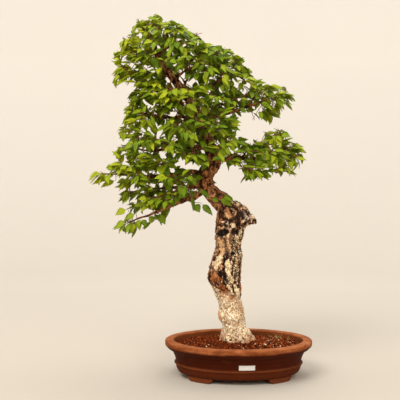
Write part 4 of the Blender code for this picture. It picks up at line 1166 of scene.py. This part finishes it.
# The blade: its veins, pleats, teeth and outline, and how each one differs from the next
VEIN_PAIRS = 5
BLADE_COLUMNS = [-1.0, -0.5, 0.0, 0.5, 1.0]
BLADE_THICK = 0.32         # thickness, and how many times as thick the middle rib is
RIB_THICKER = 2.2
PLEAT = 0.42               # height of the pleats, and the share of it at the edge
PLEAT_AT_EDGE = 0.8
TOOTH = 0.085              # how far a tooth stands out, and how far it points forward
TOOTH_FORWARD = 0.022
VEIN_FORWARD = 0.055       # how far the side veins run forward
LAST_ROW = 0.985           # no row of the blade lies nearer to its tip than this
SIDE_VEIN = 0.75           # how clearly a side vein shows, against the middle one
BLADE_BASE = 0.52          # how roundly the blade starts
BLADE_POINT = 1.22         # how slenderly it ends
BLADE_FULLNESS = 2.88      # brings the widest place to full width
BLADE_FOLDS = (0.10, 0.42)     # by how much a blade folds at its rib, cups, twists and bends aside
BLADE_CUPS = (-0.06, 0.10)
BLADE_TWISTS = (-0.35, 0.35)
BLADE_ASIDE = (-0.09, 0.09)
# How light a leaf's green is: by its age and by chance, and with painted light and shade: lighter the farther out it
# hangs, the higher it is and on the left, most of all low on the left
LIGHT_BY_AGE = 0.30
LIGHT_OUTSIDE = 0.35
LIGHT_ABOVE = (560, 2200)
LIGHT_CHANCE = (-0.22, 0.28)
LIGHT_LEFT = ([-200, -60], [0.13, 0])
LIGHT_LOWER_LEFT = ([-110, -60], [0.12, 0])
LOWER_LEFT_ENDS = ([480, 540], [1, 0])
LEAF_GREENS = [(0.0, (0.034, 0.082, 0.003)), (0.28, (0.104, 0.202, 0.006)), (0.58, (0.252, 0.338, 0.008)),
               (1.0, (0.498, 0.512, 0.012))]
VEIN_GREEN = (0.36, 0.42, 0.03)
THROUGH_GREEN = (0.54, 0.58, 0.008)
THROUGH_SHARE = 0.36       # of the light that comes through a leaf
YOUNG_TWIG_TONES = [(0.3, (0.055, 0.017, 0.007)), (0.55, (0.17, 0.055, 0.020)), (0.75, (0.28, 0.15, 0.04))]
# Leaves that the photograph shows one by one: foot, tip, and share of a full leaf's width
LONE_LEAVES = [
    ((-234, -42, 481), (-260, -46, 468), 0.55), ((-211, -42, 471), (-254, -48, 451), 0.80),
    ((-200, -36, 461), (-235, -44, 445), 0.80), ((-196, -34, 485), (-220, -40, 495), 0.85),
    ((-165, -36, 480), (-192, -44, 496), 0.85),
    ((-21, -50, 408), (-6, -56, 386), 1.0), ((-2, -50, 408), (25, -56, 380), 0.85),
    ((-8, -60, 439), (19, -64, 421), 0.80), ((39, -60, 419), (69, -64, 402), 0.90),
    ((19, -50, 420), (39, -54, 411), 0.75),
    ((-172, -50, 395), (-199, -54, 379), 0.95), ((-174, -50, 369), (-203, -56, 348), 0.85),
    ((-157, -50, 365), (-162, -56, 338), 0.75), ((-150, -48, 370), (-142, -54, 345), 0.70),
    ((-141, -46, 373), (-128, -52, 353), 0.75), ((-112, -48, 383), (-119, -54, 360), 0.70),
    ((-102, -48, 386), (-86, -54, 358), 1.05), ((-152, -46, 383), (-180, -52, 370), 0.85),
    ((-120, -44, 403), (-145, -50, 394), 0.75), ((-129, -42, 408), (-157, -48, 401), 0.75),
    ((-24, -22, 482), (-50, -36, 466), 0.80), ((-8, -18, 478), (-29, -34, 457), 0.85),
    ((3, -20, 472), (-17, -36, 463), 0.75), ((-42, -26, 484), (-67, -40, 476), 0.80),
]


def blade_pattern():
    """One leaf in its own measure: share along, share across, height in mm, vein share and faces."""
    rows, wide = 2 * VEIN_PAIRS, len(BLADE_COLUMNS)
    spots, veins = [(0.0, 0.0, 0.0)], [1.0]
    for row in range(1, rows):
        share = row / rows
        width = BLADE_FULLNESS * share ** BLADE_BASE * (1 - share) ** BLADE_POINT
        on_vein = row % 2 == 1
        for column in BLADE_COLUMNS:
            reach = abs(column)
            at_edge = reach == 1
            edge = (1 + TOOTH if on_vein else 1 - TOOTH) if at_edge else 1
            forward = share + reach * VEIN_FORWARD * (1 - share) + (TOOTH_FORWARD if on_vein and at_edge else 0)
            pleat = (-PLEAT if on_vein else PLEAT) * (PLEAT_AT_EDGE if at_edge else 1)
            spots.append((min(forward, LAST_ROW), column * width * edge, pleat if column else -PLEAT))
            veins.append(1.0 if column == 0 else SIDE_VEIN if on_vein else 0.0)
    spots.append((1.0, 0.0, 0.0))
    veins.append(1.0)
    tip = len(spots) - 1
    under = {}
    for row in range(1, rows):
        for column in range(1, wide - 1):
            index = 1 + (row - 1) * wide + column
            under[index] = len(spots)
            share, across, level = spots[index]
            spots.append((share, across, level - BLADE_THICK * (1 if BLADE_COLUMNS[column] else RIB_THICKER)))
            veins.append(veins[index])
    faces = []
    for column in range(wide - 1):
        last = 1 + (rows - 2) * wide + column
        faces += [(0, 1 + column, 2 + column), (last, tip, last + 1)]
    for row in range(1, rows - 1):
        for column in range(wide - 1):
            a = 1 + (row - 1) * wide + column
            b, c, d = a + 1, a + wide, a + wide + 1
            faces += [(a, c, b), (b, c, d)] if BLADE_COLUMNS[column] < 0 else [(a, d, b), (a, c, d)]
    below = [tuple(under.get(corner, corner) for corner in face)[::-1] for face in faces]
    return np.array(spots), np.array(veins), [face[::-1] for face in faces + below]


BLADE, BLADE_VEINS, BLADE_FACES = blade_pattern()


def seen_flat(point):
    """Where the camera sees a point, as x and height on the plane through the trunk."""
    reach = -CAMERA_PLACE[1] / (point[1] - CAMERA_PLACE[1])
    return (CAMERA_PLACE[0] + (point[0] - CAMERA_PLACE[0]) * reach,
            CAMERA_PLACE[2] + (point[2] - CAMERA_PLACE[2]) * reach)


def plan_share(x):
    """How deep the crown is at a place from left to right, against its middle: seen from above it is an oval."""
    return max(CROWN_THIN, 1 - ((x + CROWN_MIDDLE) / CROWN_REACH) ** 2) ** 0.5


def in_crown(point):
    """Whether the camera sees a point within the crown's outline, and it lies within the crown's depth."""
    x, z = seen_flat(point)
    x += CROWN_RAGGED * noise.noise((x / CROWN_NOTCH, z / CROWN_NOTCH, 3.0))
    z += CROWN_RAGGED * noise.noise((x / CROWN_NOTCH, z / CROWN_NOTCH, 8.0))
    inside = False
    for (x1, z1), (x2, z2) in zip(CROWN, CROWN[1:] + CROWN[:1]):
        if (z1 > z) != (z2 > z) and x < x1 + (z - z1) * (x2 - x1) / (z2 - z1):
            inside = not inside
    return inside and abs(point[1]) < CROWN_HALF_DEPTH * plan_share(point[0])


def seen_within(point, rings, spare=0.0, ragged=0.0):
    """Those of some rings, each x, height, radius and more, that the camera sees a point inside of."""
    x, z = seen_flat(point)
    uneven = 1 + ragged * noise.noise((x / GAP_NOTCH, z / GAP_NOTCH, 0.0))
    return [ring for ring in rings if math.hypot(x - ring[0], z - ring[1]) < (ring[2] + spare) * uneven]


def in_gap(point, spare=0.0):
    return bool(seen_within(point, SKY_GAPS, spare, GAP_RAGGED))


def hides_wood(point):
    """Whether a point lies in front of wood that shows in the photograph."""
    return point[1] < IN_FRONT and bool(seen_within(point, OPEN_WOOD))


def growth_share(point):
    return min([share for _, _, _, share in seen_within(point, THIN_PLACES)], default=1.0)


def squared(face, along):
    """The way a leaf faces, square to the way that it points."""
    return (face - along * face.dot(along)).normalized()


def scattered(draw, reach, loose):
    return Vector([draw.uniform(-reach, reach) * loose for _ in range(3)])


def hung_leaf(foot, heading, side, shoot, leaf, turned_out):
    """How a leaf hangs: its foot, axes, length, width and bend, by the first try that the crown has room for."""
    for attempt in range(LEAF_TRIES):
        draw = random.Random(SEED * 1000000 + shoot * 10000 + leaf * 100 + attempt)
        outward = Vector((foot.x + 20, foot.y * 1.6, 0.0)).normalized()
        loose = 1 + LEAF_LOOSENING * attempt
        turn = side * draw.uniform(*LEAF_TURNS) + draw.uniform(-LEAF_TURNS_LOOSE, LEAF_TURNS_LOOSE) * loose
        hang = draw.uniform(*(SHOWN_HANG if turned_out else LEAF_HANG)) * loose
        along = turned_flat(heading, turn) + outward * LEAF_WAY_OUT - UP * hang
        along += scattered(draw, LEAF_WAY_LOOSE, loose)
        along.normalize()
        face = UP * 0.8 + outward * 0.9 + scattered(draw, LEAF_FACE_LOOSE, loose)
        length = LEAF_LENGTH * draw.uniform(*LEAF_LENGTHS)
        width = LEAF_WIDTH * draw.uniform(*LEAF_WIDTHS)
        bend = draw.uniform(*LEAF_BENDS)
        if turned_out:
            near = -1 if foot.y + draw.uniform(-60, 25) < 0 else 1
            face += UP * 0.25 - outward * 0.55 + Vector((0, near * draw.uniform(*SHOWN_TURNED), 0))
            sideways = max(-1.0, min(1.0, (foot.x + CROWN_AXIS[0]) / CROWN_AXIS[1]))
            along += Vector((sideways * draw.uniform(*SHOWN_ASIDE), 0, draw.uniform(*SHOWN_DOWN)))
            along.normalize()
            length *= draw.uniform(*SHOWN_LENGTHS)
            width *= draw.uniform(*SHOWN_WIDTHS)
        normal = squared(face, along)
        middle = foot + along * length * 0.5
        across = along.cross(normal) * width * LEAF_EDGE[1]
        edges = [foot + along * length * LEAF_EDGE[0], middle + across, middle - across]
        if all(in_crown(edge) for edge in edges) and not in_gap(middle) and not hides_wood(middle):
            return foot, along, normal, length, width, bend
    return None


def shoot_stems(tip, heading, radius, length, side, draw):
    """The stem that goes on from a branch tip, and its side shoot, as the solids have them."""
    start = tip + heading * 0.3
    sway = turned_flat(heading, draw.uniform(-STEM_SWAY, STEM_SWAY)) - UP * draw.uniform(0.0, 0.25)
    end = start + sway.normalized() * length
    thick = min(radius, SHOOT_RADII[0])
    share, part = SIDE_SHOOT
    root = start.lerp(end, share)
    away = turned_flat(heading, side * SIDE_SHOOT_ANGLE * draw.uniform(0.8, 1.2))
    away = (away + UP * draw.uniform(-0.1, 0.25)).normalized()
    return (start, end, thick), (root, root + away * length * part, SIDE_SHOOT_RADIUS * thick)


class Spray:
    """One leafy shoot being grown: its twigs, leaf stalks and blades, gathered into one piece."""

    def __init__(self, name, number):
        self.name = name
        self.number = number
        self.tubes = []
        self.twigs = []
        self.leaves = []
        self.leaf_number = 0

    def tube(self, route, thick, thin, sides):
        self.tubes.append(sleeve(route, np.linspace(thick, thin, len(route)), sides))

    def twig(self, start, end, thick, thin, arch, sides=TWIG_SIDES):
        middle = start.lerp(end, 0.5) + UP * arch
        self.tube(along_curve([start, middle, end], 2), thick, thin, sides)
        self.twigs.append((start, end))

    def leaf(self, foot, heading, side, age, turned_out=True):
        self.leaf_number += 1
        chance = random.Random(SEED * 5000 + self.number * 300 + self.leaf_number).random()
        if turned_out and chance > growth_share(foot):
            return
        hung = hung_leaf(foot, heading, side, self.number, self.leaf_number, turned_out)
        if hung is not None:
            self.hang(*hung, age)

    def hang(self, foot, along, normal, length, width, bend, age):
        neck = foot + along * STALK + normal * 0.8
        self.tube([foot - along * 0.3, foot.lerp(neck, 0.5) + normal * 0.5, neck], STALK_RADIUS,
                  STALK_RADIUS * STALK_THINNER, 4)
        self.leaves.append((neck, along, normal, length - STALK, width, bend, age))

    def side_twig(self, root, heading, side, draw):
        way = turned_flat(heading, side * draw.uniform(*TWIG_ANGLES)) + UP * draw.uniform(*TWIG_LIFTS)
        way.normalize()
        length = draw.uniform(*TWIG_LENGTHS)
        while length > TWIG_SHORTEST and not in_crown(root + way * (length + TWIG_SPARE)):
            length -= TWIG_SHORTER
        end = root + way * length
        known = len(self.leaves)
        for share, leaf_side in TWIG_LEAVES:
            self.leaf(root.lerp(end, share), way, leaf_side * side, share)
        if len(self.leaves) > known:
            self.twig(root, end, *TWIG_RADII, draw.uniform(0.3, 1.8))

    def blades(self):
        """All blades at once: each bent along its length, folded at its rib, and set in its place."""
        necks, alongs, normals = [np.array([leaf[i] for leaf in self.leaves]) for i in range(3)]
        lengths, widths, bends, ages = np.array([leaf[3:] for leaf in self.leaves]).T
        draws = np.random.default_rng(SEED * 100 + self.number)
        folds, cups, twists, aside = [draws.uniform(*span, len(lengths))[:, None] for span in
                                      (BLADE_FOLDS, BLADE_CUPS, BLADE_TWISTS, BLADE_ASIDE)]
        share, across, level = BLADE.T[:, None]
        y = share * lengths[:, None]
        x = across * widths[:, None] / 2
        z = level * (lengths[:, None] / LEAF_LENGTH)
        z = z + folds * np.abs(x) - bends[:, None] * share ** 2 * lengths[:, None]
        z = z + twists * share * x - cups * (x ** 2) / 9
        x = x + aside * share ** 2 * lengths[:, None]
        rights = np.cross(alongs, normals)
        points = (necks[:, None] + x[..., None] * rights[:, None] + y[..., None] * alongs[:, None]
                  + z[..., None] * normals[:, None])
        # painted light and shade: leaves lighter far out, high up and on the left, darker inside the crown
        outer = np.hypot(necks[:, 0] + 20, necks[:, 1] * 1.5) / 230
        lights = LIGHT_BY_AGE * ages + LIGHT_OUTSIDE * outer + (necks[:, 2] - LIGHT_ABOVE[0]) / LIGHT_ABOVE[1]
        lights += draws.uniform(*LIGHT_CHANCE, len(ages))
        lights += np.interp(necks[:, 0], *LIGHT_LEFT)
        lights += np.interp(necks[:, 0], *LIGHT_LOWER_LEFT) * np.interp(necks[:, 2], *LOWER_LEFT_ENDS)
        return points.reshape(-1, 3), np.repeat(lights, len(BLADE)), np.tile(BLADE_VEINS, len(lengths))

    def finished(self):
        """The shoot as one piece of two finishes, blades and wood."""
        points, lights, veins = self.blades()
        wood_points, wood_faces = gathered(self.tubes)
        faces = [[corner + i * len(BLADE) for corner in face] for i in range(len(self.leaves)) for face in BLADE_FACES]
        slots = [0] * len(faces) + [1] * len(wood_faces)
        faces += [[corner + len(points) for corner in face] for face in wood_faces]
        on_wood = np.zeros(len(wood_points))
        numbers = {"light": np.append(lights, on_wood), "vein": np.append(veins, on_wood)}
        piece = new_piece(self.name, mesh_from(self.name, np.concatenate([points, wood_points]), faces, numbers))
        piece.data.materials.append(blade_finish)
        piece.data.materials.append(twig_finish)
        piece.data.polygons.foreach_set("material_index", slots)
        piece.data.shade_smooth()
        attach(piece, "root")
        return piece


def leaf_blade():
    """Living leaf: light passes through it, so it glows yellow-green from behind and shines a little on top."""
    leaf = Finish("leaf_blade", 0.5, 0.14)
    shade = leaf.frayed(leaf.frayed(leaf.measured("light"), leaf.cloud(70, 2), 0.15), leaf.cloud(9, 4), 0.08)
    veins = leaf.maths("MULTIPLY", leaf.measured("vein"), 0.30)
    green = leaf.mixed(veins, leaf.toned(shade, LEAF_GREENS), VEIN_GREEN)
    leaf.colour(green)
    leaf.roughness(leaf.spread(leaf.cloud(5, 3), 0.42, 0.6))
    leaf.relief(leaf.cloud(1.3, 3), 0.12, 0.5)
    through = leaf.node("BsdfTranslucent", {"Color": leaf.mixed(0.5, green, THROUGH_GREEN)})
    both = leaf.node("MixShader", {0: THROUGH_SHARE, 1: leaf.shader.outputs[0], 2: through.outputs[0]})
    leaf.feed(leaf.tree.nodes["Material Output"].inputs["Surface"], both.outputs[0])
    return leaf.material


def young_twig():
    twig = Finish("young_twig", 0.6, 0.2)
    twig.colour(twig.toned(twig.cloud(12, 4), YOUNG_TWIG_TONES))
    twig.relief(twig.cloud(1.4, 3), 0.15, 0.6)
    return twig.material


blade_finish = leaf_blade()
twig_finish = young_twig()
sprays = []
for number, (tip, heading, radius, length) in enumerate(tree_tips):
    draw = random.Random(SEED * 1000 + number)
    side = 1 if number % 2 else -1
    spray = Spray("leafy_shoot_%02d" % number, number)
    (start, end, thick), (root, point, thinner) = shoot_stems(tip, heading, radius, length, side, draw)
    spray.twig(start - heading * 2, end, thick, SHOOT_RADII[1] * 0.7, 0.6, TWIG_SIDES + 2)
    spray.twig(root, point, thinner, SHOOT_RADII[1] * 0.6, 0.4, TWIG_SIDES + 1)
    way, away = (end - start).normalized(), (point - root).normalized()
    spots = [(end, way, 0, 1.0), (point, away, 0, 0.95), (root.lerp(point, 0.55), away, side, 0.6)]
    spots += [(start.lerp(end, share), way, side * turn, share) for share, turn in STEM_LEAVES]
    for spot, spot_way, turn, age in spots:
        spray.leaf(spot, spot_way, turn, age, False)
    for share, turn in MORE_TWIGS:
        spray.side_twig(start.lerp(end, share), way, turn * side, draw)
    spray.side_twig(root.lerp(point, 0.6), away, -side, draw)
    sprays.append(spray)

# twigs that fill the crown: each grows from the nearest wood towards a place that no leaf has taken yet
limb_routes = [leader_route] + [route for route, _ in tree_limbs]
fills = [Spray("inner_shoot_%02d" % limb, len(sprays) + limb) for limb in range(len(limb_routes))]
growing = sprays + fills
wood_spots = [(*point, fills[limb].number) for limb, route in enumerate(limb_routes)
              for point in along_curve(route, 3) if point[2] > FILL_FROM]
wood_spots += [(*start.lerp(end, share), spray.number) for spray in sprays for start, end in spray.twigs
               for share in TWIG_BUDS]
wood_spots = np.array(wood_spots)


def apart(places, spot):
    return np.linalg.norm(places - np.array(spot), axis=1)


def nearest_wood(spot):
    """The nearest place on the wood, how far off it is, and the spray that goes on from there."""
    distances = apart(wood_spots[:, :3], spot)
    nearest = int(distances.argmin())
    return Vector(wood_spots[nearest, :3]), distances[nearest], growing[int(wood_spots[nearest, 3])]


def middles(leaves):
    return [tuple(neck + along * length * 0.5) for neck, along, _, length, *_ in leaves]


taken = np.array([spot for spray in sprays for spot in middles(spray.leaves)])
fill_draw = random.Random(SEED)
for _ in range(FILL_TRIES):
    level = fill_draw.uniform(*FILL_LEVELS)
    depth = FILL_DEPTH * max(FILL_THIN, 1 - ((level - FILL_MIDDLE[0]) / FILL_MIDDLE[1]) ** 2) ** 0.5
    x = fill_draw.uniform(*FILL_SIDES)
    depth = depth * plan_share(x) * fill_draw.choice((-1, 1)) * fill_draw.random() ** FILL_OUTWARDS
    goal = Vector((x, depth, level))
    pad = noise.noise([value / size for value, size in zip(goal, PAD_SIZE)]) + np.interp(level, *PAD_LIFT)
    if (not in_crown(goal) or in_gap(goal, FILL_FROM_GAP) or pad < PAD_SHARE
            or fill_draw.random() > growth_share(goal)):
        continue
    if apart(taken, goal).min() < FILL_APART * np.interp(level, *FILL_CLOSER):
        continue
    root, way_off, spray = nearest_wood(goal)
    if not FILL_REACH[0] < way_off < FILL_REACH[1]:
        continue
    way = (goal - root).normalized()
    known = len(spray.leaves)
    turn = fill_draw.choice((-1, 1))
    for share, leaf_side in FILL_LEAVES:
        spray.leaf(root.lerp(goal, share), way, leaf_side * turn, 0.3 + 0.5 * share)
    if len(spray.leaves) == known:
        continue
    spray.twig(root, goal, FILL_TWIG if spray in fills else TWIG_RADII[0], TWIG_RADII[1],
               FILL_SAG * (goal - root).length)
    buds = [(*root.lerp(goal, share), spray.number) for share in FILL_BUDS]
    wood_spots = np.vstack([wood_spots, buds])
    taken = np.vstack([taken, middles(spray.leaves[known:]), tuple(goal)])

# the single leaves, each on a twig from the nearest wood
for foot, tip, wide in LONE_LEAVES:
    foot, tip = Vector(foot), Vector(tip)
    root, _, spray = nearest_wood(foot)
    spray.twig(root, foot, *TWIG_RADII, 1.0)
    along = (tip - foot).normalized()
    spray.hang(foot, along, squared(LONE_FACE, along), (tip - foot).length, LEAF_WIDTH * wide, LONE_BEND, 0.5)
    wood_spots = np.vstack([wood_spots, (*foot, spray.number)])

for spray in sprays:
    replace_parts(spray.finished(), "shoot_%02d" % spray.number)
for spray in fills:
    if spray.leaves:
        spray.finished()

# The label
# A small blank paper sticker, a little grubby from handling, pressed onto the front of the pot. It is the packed
# solid with a finish.
PAPER_WHITE = (0.74, 0.72, 0.69)
PAPER_GRUBBY = (0.60, 0.58, 0.55)

paper = Finish("label_paper", 0.55)
paper.colour(paper.mixed(paper.cloud(9, 4), PAPER_WHITE, PAPER_GRUBBY))
paper.roughness(paper.spread(paper.cloud(4), 0.45, 0.7))
paper.relief(paper.cloud(0.7, 2), 0.05, 0.4)
refinished("label", paper.material)

# The studio
# A plain pale bowl of paper, floor and wall in one, under soft lamps from above and in front. The camera
# stands level with the middle of the tree. All lengths here are in metres.
BOWL_RADIUS = 4.4
BOWL_BEND = 1.7
BOWL_BEND_STEPS = 12
BOWL_TOP = 3.4
BOWL_STEPS = 96
# The paper's tones on the floor from near to far, by the way from a place in front of the tree, and on the wall:
# painted shade, darker on the floor near the tree where the lamps light it most
PAPER_NEAR = (0.462, 0.414, 0.354)
PAPER_LOW = (0.610, 0.560, 0.487)
PAPER_FAR = (0.712, 0.660, 0.590)
PAPER_CREAM = (0.888, 0.848, 0.786)
NEAR_TO_LOW = (1.7, 3.3)
LOW_TO_FAR = (3.2, 4.5)
IN_FRONT_BY = 1.7
WALL_DEPTHS = (-1.5, 1.5)      # the wall reaches its full tone at the first height in front of these, and at
WALL_HEIGHTS = (0.45, 1.6)     # the second behind them
LENS = 60.48                   # mm
SENSOR = 36.0
LAMPS = [                      # place, size, watts
    ((-0.9, -1.6, 2.1), 1.2, 51), ((1.15, -2.2, 1.5), 1.3, 25), ((0.3, 0.6, 2.5), 1.4, 19),
]
LAMP_COLOUR = (1.0, 0.98, 0.94)
ROOM_COLOUR = (1.0, 0.975, 0.94)
ROOM_LIGHT = 1.10
AIM = Vector((0.0, 0.0, 0.42))

bowl_line = [(0, 0), ((BOWL_RADIUS - BOWL_BEND) / MM, 0)]
for step in range(1, BOWL_BEND_STEPS + 1):
    turn = math.pi / 2 * step / BOWL_BEND_STEPS
    bowl_line.append(((BOWL_RADIUS - BOWL_BEND + BOWL_BEND * math.sin(turn)) / MM,
                      BOWL_BEND * (1 - math.cos(turn)) / MM))
bowl_line.append((BOWL_RADIUS / MM, BOWL_TOP / MM))
bowl = turned_piece("paper_bowl", bowl_line, BOWL_STEPS)
bowl.data.shade_smooth()
backdrop = Finish("backdrop_paper", 0.9, 0.1)
on_floor = {"Vector": backdrop.place, "Location": (0, IN_FRONT_BY, 0), "Scale": (1, 1, 0)}
flat = backdrop.node("Mapping", on_floor).outputs["Vector"]
way_off = backdrop.node("VectorMath", {0: flat}, operation="LENGTH").outputs["Value"]
floor_tone = backdrop.mixed(backdrop.ranged(way_off, *NEAR_TO_LOW), PAPER_NEAR, PAPER_LOW)
floor_tone = backdrop.mixed(backdrop.ranged(way_off, *LOW_TO_FAR), floor_tone, PAPER_FAR)
behind = backdrop.node("SeparateXYZ", {0: backdrop.place}).outputs["Y"]
rise = backdrop.ranged(behind, *WALL_DEPTHS, *WALL_HEIGHTS)
upward = backdrop.ranged(backdrop.maths("DIVIDE", backdrop.height(), rise), 0, 1)
mottled = backdrop.maths("MULTIPLY", upward, backdrop.ranged(backdrop.cloud(900, 2), 0, 1, 0.9, 1))
backdrop.colour(backdrop.mixed(mottled, floor_tone, PAPER_CREAM))
bowl.data.materials.append(backdrop.material)

for place, size, watts in LAMPS:
    light = bpy.data.lights.new("soft_lamp", "AREA")
    light.size = size
    light.energy = watts
    light.color = LAMP_COLOUR
    lamp = new_piece("soft_lamp", light)
    lamp.location = place
    lamp.rotation_euler = (AIM - Vector(place)).to_track_quat("-Z", "Y").to_euler()
world = bpy.data.worlds.new("soft_room")
world.use_nodes = True
room = world.node_tree.nodes["Background"].inputs
room["Color"].default_value = (*ROOM_COLOUR, 1)
room["Strength"].default_value = ROOM_LIGHT
bpy.context.scene.world = world
bpy.context.scene.view_settings.view_transform = "Standard"

camera = new_piece("camera", bpy.data.cameras.new("camera"))
camera.data.lens = LENS
camera.data.sensor_width = SENSOR
camera.location = [value * MM for value in CAMERA_PLACE]
camera.rotation_euler = (math.radians(90), 0, 0)
bpy.context.scene.camera = camera
